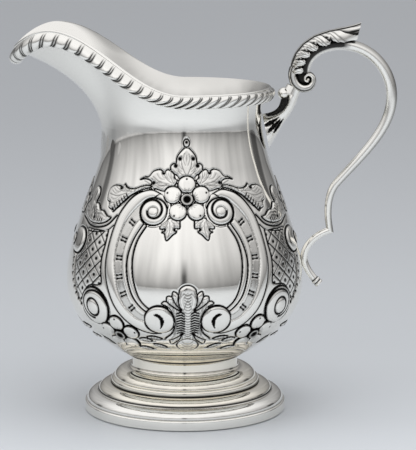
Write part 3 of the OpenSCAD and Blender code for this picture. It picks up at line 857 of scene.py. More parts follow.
def panel_relief(middle, runs):
    """Heights and darkness, tarnish with a crescent of painted shade, over a panel whose middle lies a side
    run from the cartouche's middle.
    """
    side = middle + np.linspace(-QUARTER / 2, QUARTER / 2, PANEL_COLUMNS)
    folded = np.abs(side)
    folded = np.where(folded > QUARTER, 2 * QUARTER - folded, folded)
    half = np.arange(PANEL_COLUMNS) <= PANEL_COLUMNS // 2
    grid_side, grid_run = np.meshgrid(folded[half], runs)
    shrink = np.interp(grid_run, BOWL_RUN, BOWL[:, 0]) / DRAWN_R
    relief = Relief(grid_side.ravel(), grid_run.ravel(), shrink.ravel())
    # Two lines round the bowl's lower end
    for up, dark in [(7.6, 0.6), (9.2, 0.35)]:
        relief.groove([(-1, up), (QUARTER + 1, up)], 0.28, 0.12, dark)
    trellis_side(relief)
    cartouche(relief)
    flower(relief, (0, 77.3), 1.0, 0.8)
    flower(relief, (28.7, 25.0), 0.96, 0.9)
    height = relief.height.reshape(grid_side.shape)
    dark = relief.dark.reshape(grid_side.shape)
    mirrored = slice(PANEL_COLUMNS // 2 - 1, None, -1)
    height = np.hstack([height, height[:, mirrored]])
    dark = np.hstack([dark, dark[:, mirrored]])
    # The work fades out over 3 mm at the lower edge and 2 mm at the upper one
    edge = ramp(runs, PANEL_LOW, 3) * ramp(-runs, -PANEL_HIGH, 2)
    return height * edge[:, None], dark * edge[:, None]


def colour_setting(name, description, code):
    """A colour that a user may change, with an sRGB hex code as its default."""
    return bpy.props.FloatVectorProperty(
        name=name, description=description, subtype="COLOR", default=linear(code)
    )


class JugSettings(bpy.types.PropertyGroup):
    """Sizes and colours that a user would change."""

    ornament_turn: bpy.props.FloatProperty(
        name="Ornament turn",
        description="Angle by which the chased ornament is turned round the axis, towards the handle",
        default=math.radians(2),
        subtype="ANGLE",
    )
    relief: bpy.props.FloatProperty(
        name="Relief", description="Height of the chased relief, as a share of the drawn one", default=1.0
    )
    gadroons: bpy.props.IntProperty(
        name="Gadroons", description="Number of gadroons round the rim", default=64
    )
    silver_colour: colour_setting("Silver", "Colour of polished silver", "#f6f4ee")
    # Film: colour of a warm reflection of the bowl's underside, painted on the foot below the bowl
    painted_reflection_colour: colour_setting("Film", "Colour of silver under a first film of tarnish", "#ece0c2")
    # Tarnish: also the colour of the shade painted in hollows, corners and under the leaf
    tarnish_and_shade_colour: colour_setting("Tarnish", "Colour of oxidised recesses", "#0d0c0b")
    tent_colour: colour_setting("Tent", "Colour of the light tent's cloth", "#fbfbfd")
    floor_colour: colour_setting("Floor", "Colour of the paper on the floor", "#cbcfd3")


# Painted light on the paper from the front to the far edge of the view: brightest just in front of the jug,
# where the silver throws light back, and darker further off; its distances from the jug follow in metres
PAPER_PAINTED_LIGHT = [
    (0.0, 1.08), (0.085, 0.94), (0.114, 0.85), (0.15, 0.77), (0.24, 0.74), (0.32, 0.735), (0.44, 0.745),
    (0.61, 0.785), (1.0, 0.8),
]
PAPER_FRONT = -0.3
PAPER_FAR = 2.4
# Painted fall-off of light on the paper by its distance to the side, in metres
PAPER_SIDE_FALLOFF = [(0.0, 1.0), (0.5, 1.0), (0.9, 0.75), (1.0, 0.7)]


def paper_with_painted_light(colour):
    """Matt studio paper with painted light: a pool of light in front of the jug and painted fall-off towards
    the back and the sides, which sets the jug off from it.
    """
    material = bpy.data.materials.new("studio_paper")
    material.use_nodes = True
    tree = material.node_tree
    tree.nodes.clear()
    where = add_node(tree, "TexCoord")["Object"]
    side, depth, _ = add_node(tree, "SeparateXYZ", {0: where})
    far = add_node(tree, "Math", {0: side}, operation="ABSOLUTE")[0]
    side_falloff = add_node(tree, "ValToRGB", {0: far}, PAPER_SIDE_FALLOFF)[0]
    share = add_node(tree, "MapRange", {0: depth, 1: PAPER_FRONT, 2: PAPER_FAR})[0]
    painted_light = add_node(tree, "ValToRGB", {0: share}, PAPER_PAINTED_LIGHT)[0]
    tint = (*colour, 1)
    for level in (painted_light, side_falloff):
        mixed = {0: 1.0, 6: tint, 7: level}
        tint = add_node(tree, "Mix", mixed, data_type="RGBA", blend_type="MULTIPLY")[2]
    surface = {"Base Color": tint, "Roughness": 0.35, "Specular IOR Level": 0.3}
    shader = add_node(tree, "BsdfPrincipled", surface)
    add_node(tree, "OutputMaterial", {"Surface": shader[0]})
    return material


# Brightness of the tent by height, as the upward part of a direction
TENT_BY_HEIGHT = [
    (0.0, 0.6), (0.006, 0.19), (0.03, 0.33), (0.1, 0.46), (0.2, 0.6), (0.35, 0.83), (0.6, 1.05), (1.0, 1.0),
]
# Brightness by turn: brighter in front, where the lamps stand beside the lens, and darker at the sides
TENT_BY_TURN = [
    (0.0, 0.5), (0.1, 0.55), (0.16, 0.75), (0.24, 1.0), (0.36, 1.0), (0.44, 1.1), (0.56, 1.05), (0.62, 0.85),
    (0.68, 0.82), (0.76, 0.74), (0.84, 0.65), (0.9, 0.55), (1.0, 0.5),
]
# How much the sides even out, and the folds are pulled flat, by height
TENT_EVEN = [(0.0, 0.0), (0.5, 0.0), (0.8, 1.0), (1.0, 1.0)]
TENT_FLAT = [(0.0, 0.0), (0.35, 0.0), (0.65, 1.0), (1.0, 1.0)]
# How dark the slit for the lens and the gaps at the sides are, by turn, and the height at which each ends
TENT_SLIT = [(0.0, 0.0), (0.489, 0.0), (0.4965, 0.85), (0.5035, 0.85), (0.511, 0.0), (1.0, 0.0)]
TENT_GAPS = [
    (0.0, 0.0), (0.15, 0.0), (0.16, 0.7), (0.18, 0.7), (0.19, 0.0), (0.81, 0.0), (0.82, 0.75), (0.85, 0.75),
    (0.86, 0.0), (1.0, 0.0),
]
SLIT_TOP = 0.27
GAPS_TOP = 0.3
# Half the height over which the slit and the gaps end
SOFT_END = 0.09
# Folds of the cloth: how many lie in a radian round the tent, and how many up its height
FOLDS = (5.5, 1.1, 1.0)


def tent_light():
    """A cloth tent round the jug, which the silver mirrors.

    It has a dark seam at the table, folds above that, a slit in front for the lens, and a gap on each side
    where the cloth ends.
    """
    world = bpy.data.worlds.new("tent")
    world.use_nodes = True
    tree = world.node_tree
    tree.nodes.clear()
    way = add_node(tree, "TexCoord")["Generated"]
    aside, behind, up = add_node(tree, "SeparateXYZ", {0: way})
    ahead = add_node(tree, "Math", {0: behind, 1: -1.0}, operation="MULTIPLY")[0]
    # Angle from the front, in radians, and the same as a share of a turn with the front at a half
    turn = add_node(tree, "Math", {0: aside, 1: ahead}, operation="ARCTAN2")[0]
    share = add_node(tree, "MapRange", {0: turn, 1: -math.pi, 2: math.pi})[0]
    level = add_node(tree, "ValToRGB", {0: up}, TENT_BY_HEIGHT)[0]
    side = add_node(tree, "ValToRGB", {0: share}, TENT_BY_TURN)[0]
    even = add_node(tree, "ValToRGB", {0: up}, TENT_EVEN)[0]
    side = add_node(tree, "Mix", {0: even, 2: side, 3: 1.0})[0]
    spread = add_node(tree, "CombineXYZ", {0: turn, 1: up})[0]
    spread = add_node(tree, "Mapping", {"Vector": spread, "Scale": FOLDS})[0]
    folds = add_node(tree, "TexNoise", {"Vector": spread, "Scale": 1.0, "Detail": 2.5})["Fac"]
    light = add_node(tree, "Math", {0: folds, 1: 0.9, 2: 0.55}, operation="MULTIPLY_ADD")[0]
    flat = add_node(tree, "ValToRGB", {0: up}, TENT_FLAT)[0]
    light = add_node(tree, "Mix", {0: flat, 2: light, 3: 1.0})[0]
    factors = [side]
    for gaps, height in ((TENT_SLIT, SLIT_TOP), (TENT_GAPS, GAPS_TOP)):
        gap = add_node(tree, "ValToRGB", {0: share}, gaps)[0]
        end = [(0.0, 1.0), (height - SOFT_END, 1.0), (height + SOFT_END, 0.0)]
        below = add_node(tree, "ValToRGB", {0: up}, end)[0]
        shadow = add_node(tree, "Math", {0: gap, 1: below}, operation="MULTIPLY")[0]
        factors.append(add_node(tree, "Math", {0: 1.0, 1: shadow}, operation="SUBTRACT")[0])
    for factor in factors:
        light = add_node(tree, "Math", {0: light, 1: factor}, operation="MULTIPLY")[0]
    tint = {0: 1.0, 6: (*bpy.context.scene.cream_jug.tent_colour, 1), 7: level}
    tint = add_node(tree, "Mix", tint, data_type="RGBA", blend_type="MULTIPLY")[2]
    background = add_node(tree, "Background", {"Color": tint, "Strength": light})
    add_node(tree, "OutputWorld", {"Surface": background[0]})
    return world


# Width of the floor, and how far it lies under the foot, in metres
FLOOR_SIZE = 12
FLOOR_GAP = 0.0002
# Lamps outside the tent: power, size, place, and turn in degrees
LAMPS = {
    "overhead": (5.0, 0.7, (0.0, -0.1, 1.0), (0, 0, 0)),
    "left": (1.1, 0.5, (-0.9, -0.3, 0.5), (0, -62, 18)),
    "right": (0.6, 0.5, (0.9, -0.4, 0.55), (0, 60, -22)),
}
# Camera, fitted to the ellipses of the foot and mouth: place in metres, tilt in degrees, lens in millimetres
CAMERA_AT = (0.00877, -0.827, 0.213)
CAMERA_TILT = 80.18
CAMERA_LENS = 178.6


class JUG_OT_stage(bpy.types.Operator):
    """Sets the floor, the light and the camera"""

    bl_idname = "jug.stage"
    bl_label = "Stage"

    def execute(self, context):
        scene = context.scene
        scene.view_settings.view_transform = "Standard"
        # Floor, wide enough to fill the view from every side
        select_only()
        bpy.ops.mesh.primitive_plane_add(size=FLOOR_SIZE)
        floor = context.object
        floor.name = floor.data.name = "floor"
        points = read_points(floor)
        points[:, 2] = -FLOOR_GAP
        floor.data.vertices.foreach_set("co", points.astype(np.float32).ravel())
        floor.data.update()
        floor.data.materials.append(paper_with_painted_light(scene.cream_jug.floor_colour))
        scene.world = tent_light()
        # The lamps light the paper, and the silver mirrors the tent alone
        for name, (energy, size, spot, turn) in LAMPS.items():
            bpy.ops.object.light_add(type="AREA", location=spot, rotation=[math.radians(q) for q in turn])
            lamp = context.object
            lamp.name = lamp.data.name = name
            lamp.data.energy = energy
            lamp.data.size = size
            lamp.visible_glossy = False
        bpy.ops.object.camera_add(location=CAMERA_AT, rotation=(math.radians(CAMERA_TILT), 0, 0))
        camera = context.object
        camera.data.lens = CAMERA_LENS
        camera.data.clip_start = 0.01
        scene.camera = camera
        return {"FINISHED"}


# Name, roughness, and darkness of the tarnish and the painted shade, of the vessel's and the panels' silver
BODY_SILVER = ("polished_sterling_silver", 0.07, 1.0)


class JUG_OT_vessel(bpy.types.Operator):
    """Makes the raised vessel: bowl, neck, pouring lip and hollow inside"""

    bl_idname = "jug.vessel"
    bl_label = "Vessel"

    def execute(self, context):
        turn = round_turn(384) + context.scene.cream_jug.ornament_turn
        flat = np.ones(len(turn))
        bottom_pull = 0.4 * SEAT_INNER[0]
        bottom = np.array(
            [[0, BOTTOM_Z], [bottom_pull, BOTTOM_Z], SEAT_INNER - bottom_pull * SEAT_LEAN, SEAT_INNER]
        )
        rows = []

        def revolve(sections):
            rows.extend(np.outer(flat, section) for section in sections)

        # Outside: bottom, bowl below the panels and under them, and the same for the neck
        bottom_at = np.linspace(0, 1, 9)[1:]
        lowest = np.linspace(0, PANEL_LOW, 26)
        revolve(bezier(bottom, bottom_at))
        revolve(bowl_section(lowest, 0))
        revolve(bowl_section(np.linspace(PANEL_LOW, BOWL_LENGTH, 44), PANEL_DEPTH))
        shares = neck_share(turn, np.linspace(0, PANEL_HIGH - BOWL_LENGTH, 9))
        rows.extend(neck_section(turn, share, PANEL_DEPTH) for share in shares[1:])
        top = shares[-1]
        rows.extend(neck_section(turn, top + (1 - top) * t, 0) for t in np.linspace(0, 1, 46))
        # Rolled edge of the lip, 0.25 mm high
        curves = neck_curves(turn)
        ends = bezier(curves, flat)
        slopes = unit(bezier_slope(curves, flat))
        for q in np.linspace(0, math.pi, 8)[1:-1]:
            across = 0.5 * WALL * (1 - math.cos(q))
            rows.append(offset_section(ends, slopes, across) + 0.25 * math.sin(q) * slopes)
        # Inside: neck, bowl and bottom
        inside = len(rows)
        rows.extend(neck_section(turn, t, WALL) for t in np.linspace(1, 0, 40))
        revolve(bowl_section(np.linspace(BOWL_LENGTH, 0, 60)[1:], WALL))
        bottom_back = bottom_at[::-1]
        revolve(offset_section(bezier(bottom, bottom_back), bezier_slope(bottom, bottom_back), WALL))
        rings = np.stack([place(row, turn) for row in rows])
        # A dark line, 1.1 mm to each side, lies 3 mm above the soldered seam of the foot
        dark = np.zeros(rings.shape[:2])
        first = len(bottom_at)
        dark[first : first + len(lowest)] = fade((lowest - 3.0) / 1.1, 4)[:, None]
        # The inside is painted darker as shade in the hollow, and duller, most on the handle's side and
        # least on the lip's
        dark[inside:] = 0.2 * np.sqrt(0.5 + 0.5 * np.cos(turn))
        poles = (np.array([0, 0, BOTTOM_Z]), np.array([0, 0, BOTTOM_Z + WALL]))
        piece = loft("vessel", rings, dark, poles)
        finish_piece(piece, silver(*BODY_SILVER), 35, "body")
        return {"FINISHED"}


class JUG_OT_panels(bpy.types.Operator):
    """Makes the four chased panels of the bowl: two cartouches and two trellis sides"""

    bl_idname = "jug.panels"
    bl_label = "Chased panels"

    def execute(self, context):
        jug = context.scene.cream_jug
        # Names of two like panels, side run of their middle, and the run up to which they are chased
        for names, middle, dense_high in [
            (("cartouche_panel_front", "cartouche_panel_back"), 0.0, 99.5),
            (("trellis_panel_handle", "trellis_panel_lip"), QUARTER, 88.0),
        ]:
            runs = panel_rows(dense_high)
            height, dark = panel_relief(middle, runs)
            first = blank_plate(names[0], len(runs), PANEL_COLUMNS, PANEL_BLOCK)
            for k, piece in enumerate((first, copy_of(first, names[1]))):
                centre = jug.ornament_turn - math.pi / 2 + middle / DRAWN_R + math.pi * k
                turn = centre + np.linspace(-math.pi / 4, math.pi / 4, PANEL_COLUMNS)
                base = panel_base(turn, runs, 0.0)
                under = panel_base(turn, runs, PANEL_DEPTH - PANEL_CLEAR)
                out = unit(base - under)
                outer = place(base + (jug.relief * height)[..., None] * out, turn)
                shape_plate(piece, outer, place(under, turn), dark)
                finish_piece(piece, silver(*BODY_SILVER), 50)
        return {"FINISHED"}


def lip_runs():
    """Runs along the lip from the handle, and the angles at which they are reached."""
    turn = np.linspace(0, 2 * math.pi, 2881)
    return run_along(place(np.stack(lip_at(turn), -1), turn)), turn


def half_round(t):
    """Height of a half round over its width, which runs from 0 to 1."""
    return np.sqrt(np.maximum(0, 1 - (2 * t - 1) ** 2))


class JUG_OT_rim(bpy.types.Operator):
    """Makes the gadrooned wire round the lip"""

    bl_idname = "jug.rim"
    bl_label = "Gadrooned rim"

    def execute(self, context):
        count = context.scene.cream_jug.gadroons
        # Slices to a gadroon, and points on the wire's back and on its face
        cuts, back, face = 16, 5, 21
        # Width and thickness of the wire, depth of its furrows, rise of the lobes at the tip, and solder gap
        rim_w, rim_t, furrow, rise, solder = 4.9, 2.5, 1.1, 1.1, 0.03
        # A lobe's lean in pitches, the share of a pitch that it takes, and the half width of its dark lines
        slant, lobe, line = 1.15, 0.8, 0.22
        lengths, turns = lip_runs()
        total = lengths[-1]
        pitch = total / count
        slices = count * cuts
        run = np.arange(slices) * total / slices
        phase = (run / pitch) % 1
        # A thin fillet takes the rest of the pitch, with a dark line on each side of it
        fillet = 0.45 * half_round((phase - lobe) / (1 - lobe))
        swell = np.where(phase < lobe, half_round(phase / lobe), fillet)
        gap = np.minimum(np.minimum(phase, 1 - phase), np.abs(phase - lobe)) * pitch
        q = math.pi * (np.arange(face) + 0.5) / face
        up = np.concatenate([np.linspace(1, 0, back), (1 - np.cos(q)) / 2])
        lift = np.concatenate([np.zeros(back), np.sin(q) ** 0.55])
        # The lobes lean along the lip; by the angle from the handle, in radians, they are fuller and more
        # bent where it flares, and upright at its tip
        half = math.pi - np.abs(np.interp(run, lengths, turns) - math.pi)
        flare = ramp(half, 1.3, 0.9)
        tip = ramp(half, 2.72, 0.25)
        full = rim_t * (1 + 0.95 * ramp(half, 1.75, 0.5))
        most = slant * (1 + 1.15 * flare - 1.85 * ramp(half, 2.6, 0.5))
        bow = 1.15 + 0.4 * flare
        sections, dark = [], []
        for s, out in zip(up, lift):
            lean = most * (1 - (1 - s) ** bow)
            steep = bow * most * (1 - s) ** (bow - 1) * pitch / rim_w
            turn = np.interp((run + lean * pitch) % total, lengths, turns)
            curves = neck_curves(turn)
            low = 1 - rim_w / np.linalg.norm(bezier_slope(curves, np.ones(slices)), axis=-1)
            middle = unit(bezier_slope(curves, (1 + low) / 2))
            share = low + (1 - low) * s
            base = offset_section(bezier(curves, share), bezier_slope(curves, share), -solder)
            thick = out * full - min(out, 0.75) * furrow * (1 - swell)
            outside = offset_section(base, middle, -thick[:, None])
            sections.append(place(outside + (rise * tip * out * s)[:, None] * middle, turn))
            dark.append(fade(gap / (line * np.hypot(1, steep))) * min(1, 2.2 * out))
        piece = closed_loft("gadroon_wire", np.stack(sections, 1), np.stack(dark, 1))
        finish_piece(piece, silver("struck_silver_wire", 0.09, 0.92), 60, "gadroon_rim")
        return {"FINISHED"}


def arc(centre, reach, first, last, steps):
    """Part of a turn about a centre, between two angles in degrees; reach is a radius or a pair of them."""
    q = np.radians(np.linspace(first, last, steps + 1))
    return centre + reach * np.stack([np.cos(q), np.sin(q)], -1)


def revolve_profile(name, profile, dark, columns=240):
    """A ring of revolution from a closed profile of radius and height, tarnished by profile point."""
    sections = np.stack([place(profile, q) for q in round_turn(columns)])
    return closed_loft(name, sections, np.broadcast_to(dark, sections.shape[:2]))


class JUG_OT_foot(bpy.types.Operator):
    """Makes the spun foot and the wire it stands on"""

    bl_idname = "jug.foot"
    bl_label = "Foot"

    def execute(self, context):
        # Its last figure is the strength of the warm reflection of the bowl's underside painted on the foot
        spun = silver("spun_silver", 0.05, 1.0, 0.3)
        # Radius of the foot, width and top of its wire, and thickness of its sheet
        foot_r, wire_w, wire_top, sheet = 38.0, 2.4, 3.7, 1.1
        # Flange inside the wire, and edge of the lowest step
        flange_r, flange_z, edge = foot_r - wire_w, 0.5, foot_r - 0.8
        # Quarter rounds of the steps: centre, and reach out and up
        lower, lower_reach = np.array([33.2, 4.2]), np.array([4.0, 2.9])
        middle, middle_reach = np.array([28.4, 7.6]), np.array([4.3, 2.5])
        upper, upper_reach = np.array([21.6, 12.4]), np.array([5.2, 3.5])
        bead, bead_r = np.array([28.0, 10.1]), 1.2
        # Sweep from the upper step to the seam under the bowl
        seam = [(20.9, 15.9), (20.3, 16.3), (20, 17), (19.85, 18), (19.8, 19.2), SEAT_OUTER]
        steps = 14
        outer = np.vstack(
            [
                [[flange_r, flange_z], [flange_r, wire_top], [edge - 0.1, wire_top], [edge, wire_top + 0.1]],
                arc(lower, lower_reach, 0, 90, steps),
                arc(middle, middle_reach, 0, 90, steps),
                [bead],
                arc(bead + [-bead_r, bead_r - 0.1], bead_r, 0, 90, 8),
                arc(upper, upper_reach, 0, 90, steps),
                smooth_line(seam, 4),
            ]
        )
        upper_reach, middle_reach = upper_reach - sheet, middle_reach - sheet
        bead_in, flange_in = bead[0] - sheet, flange_r - sheet
        inner = np.vstack(
            [
                [SEAT_INNER, [19.1, 14.8]],
                arc(upper, upper_reach, 90, 0, steps),
                [[upper[0] + upper_reach[0], 11.3], [bead_in, 11.0], [bead_in, bead[1] - sheet]],
                arc(middle, middle_reach, 90, 0, steps),
                [[middle[0] + middle_reach[0], 6.0], [flange_in, 5.8], [flange_in, flange_z]],
            ]
        )
        profile = np.vstack([outer, inner])
        # Shade painted in the corners of the steps
        dark = np.zeros(len(profile))
        for corner in [(21.2, 15.95), (27.95, 10.1), (32.7, 7.6), (36.9, 3.7)]:
            dark = np.maximum(dark, 0.9 * fade(np.linalg.norm(profile - corner, axis=1) / 0.3))
        piece = revolve_profile("spun_foot", profile, dark)
        finish_piece(piece, spun, 28, "foot")
        wire = np.vstack(
            [
                [[flange_r, 0], [foot_r - 0.5, 0]],
                arc((foot_r - 0.5, 0.5), 0.5, -75, 0, 5),
                arc((foot_r - 0.7, wire_top - 0.7), 0.7, 0, 90, 6),
                [[flange_r, wire_top]],
            ]
        )
        piece = revolve_profile("foot_band", wire, np.zeros(len(wire)))
        finish_piece(piece, spun, 28, "foot_wire")
        return {"FINISHED"}


# Handle: the loop's middle line in the plane of the lip, as side and height
HEEL = np.array([54.6, 67.9])
WAIST = np.array([57.2, 86.2])
OUTERMOST = np.array([77.1, 118.2])
TOP = np.array([58.0, 137.8])
LOOP_END = np.array([44.6, 127.3])
WAIST_RUN = np.array([0.66, 0.75])
LOOP_CURVES = [
    [HEEL, HEEL + [-1.3, 6.5], WAIST - 6 * WAIST_RUN, WAIST],
    [WAIST, WAIST + 14 * WAIST_RUN, OUTERMOST - [0, 12], OUTERMOST],
    [OUTERMOST, OUTERMOST + [0, 11], TOP + [10.5, 0], TOP],
    [TOP, TOP - [7.5, 0], LOOP_END + [0, 6.5], LOOP_END],
]
# Direction in which the scroll under the heel runs into it
SCROLL_RUN = np.array([0.96, 0.28])
# Half thickness of the rod above the waist and at the heel, and the power by which it tapers between them
ROD_THICK = 2.1
ROD_THIN = 1.3
ROD_TAPER = 1.6
# Length of the mitre at the heel, as a multiple of the rod's thickness there
MITRE = 1.3
# Stations on each curve in the part's source, and steps of the finer line here for each of them
STATIONS = 12
FINE = 4
# Station at which the leaf starts on the loop
LEAF_FROM = 34


def line_directions(line):
    """Directions along a line of points."""
    ahead = np.vstack([line[1:], line[-1:]])
    behind = np.vstack([line[:1], line[:-1]])
    return unit(ahead - behind)


def loop_line():
    """Stations along the handle's loop, its middle line, directions, and the half thickness of the rod."""
    line = chain(LOOP_CURVES, STATIONS * FINE)
    station = np.arange(len(line)) / FINE
    half = ROD_THIN + (ROD_THICK - ROD_THIN) * np.minimum(1, station / (2 * STATIONS)) ** ROD_TAPER
    return station, line, line_directions(line), half


def rod_rings(line, runs, thick, wide, sides):
    """Rings round a line in the plane of the lip, from the curve's outer side.

    Thick and wide hold half sizes by ring, or places by point.
    """
    q = round_turn(sides)
    out = np.stack([runs[:, 1], -runs[:, 0]], -1)
    away = thick[:, None] * np.cos(q) if np.ndim(thick) == 1 else thick
    y = wide[:, None] * np.sin(q) if np.ndim(wide) == 1 else wide
    x = line[:, :1] + out[:, :1] * away
    z = line[:, 1:] + out[:, 1:] * away
    return np.stack([x, y, z], -1)


def heel_ring(sides):
    """The mitre between the loop and the scroll under it."""
    run = unit(SCROLL_RUN + unit(loop_line()[1][FINE] - HEEL))
    return rod_rings(HEEL[None], run[None], np.array([MITRE * ROD_THIN]), np.array([ROD_THIN]), sides)


class JUG_OT_loop(bpy.types.Operator):
    """Makes the handle's loop and the scroll under its heel"""

    bl_idname = "jug.loop"
    bl_label = "Handle loop"

    def execute(self, context):
        drawn = silver("drawn_silver_rod", 0.1, 0.95)
        sides = 28
        station, line, runs, half = loop_line()
        rings = rod_rings(line[1:], runs[1:], half[1:], half[1:], sides)
        rings = np.concatenate([heel_ring(sides), rings])
        # The rod is painted dark as shade beside the leaf that covers it, and it is painted darker along its
        # outside
        outward = np.cos(round_turn(sides))
        covered = ramp(station, LEAF_FROM + 0.5, 1.5)
        dark = covered[:, None] * np.clip(2.5 * outward + 1.6, 0, 1)
        dark = np.maximum(dark, 0.42 * ramp(outward, 0.35, 0.35))
        piece = loft("handle_rod", rings, dark)
        finish_piece(piece, drawn, 50, "handle_loop")
        # Scroll: from its ringed tail past the bowl to the heel
        touch = np.array([44.98, 57.8])
        tail = np.array([50.8, 47.4])
        curves = [
            [tail, tail - [2.8, -2.6], touch - [0, 3.8], touch],
            [touch, touch + [0, 4.6], HEEL - 5 * SCROLL_RUN, HEEL],
        ]
        path = chain(curves, STATIONS * FINE)
        runs = line_directions(path)
        along = run_along(path)
        # Two beads on the tail, with a dark line after each
        half = np.full(len(path), 1.35)
        for at, wide, swell in [(0.5, 0.55, 0.4), (1.9, 0.5, 0.42)]:
            half += swell * fade((along - at) / wide, 4)
        dark = fade((along - 1.2) / 0.22) + fade((along - 2.6) / 0.22)
        rings = rod_rings(path[:-1], runs[:-1], half[:-1], half[:-1], sides)
        rings = np.concatenate([seated(rings), heel_ring(sides)])
        cap = path[0] - 0.25 * runs[0]
        poles = (np.array([cap[0], 0, cap[1]]), np.array([HEEL[0], 0, HEEL[1]]))
        dark = np.broadcast_to(dark[:, None], (len(path), sides))
        piece = loft("handle_scroll", rings, dark, poles)
        finish_piece(piece, drawn, 50, "lower_scroll")
        return {"FINISHED"}


def ball(name, middle, radius, half, dark):
    """A flattened ball round a middle in the plane of the lip, which reaches half to each side."""
    t = np.linspace(0, math.pi, 20)[1:-1, None]
    q = round_turn(32)
    x = middle[0] + radius * np.sin(t) * np.cos(q)
    z = middle[1] + radius * np.sin(t) * np.sin(q)
    y = np.broadcast_to(half * np.cos(t), x.shape)
    poles = (np.array([middle[0], half, middle[1]]), np.array([middle[0], -half, middle[1]]))
    return loft(name, np.stack([x, y, z], -1), np.full(x.shape, dark), poles)


def joined(*pieces):
    """Joins pieces into the first of them."""
    select_only(*pieces)
    bpy.ops.object.join()
    return bpy.context.object


# Outline of the bowl and the neck on the handle's side
BACK_NECK = bezier(neck_curves(np.array([0.0]))[:, 0], np.linspace(0, 1, 200))
BACK_LINE = np.vstack([BOWL, BACK_NECK[1:]])


def seated(rings, clear=0.03):
    """Points of a fitting, moved out to the bowl's or the neck's surface where they would lie inside it."""
    r = np.interp(rings[..., 2], BACK_LINE[:, 1], BACK_LINE[:, 0]) + clear
    out = rings.copy()
    inside = np.hypot(rings[..., 0], rings[..., 1]) < r
    out[inside, 0] = np.sqrt(np.maximum(0, r[inside] ** 2 - rings[inside, 1] ** 2))
    return out


def blunt(wave, power):
    """A wave made blunter by a power below 1, with its sign kept."""
    return np.sign(wave) * np.abs(wave) ** power


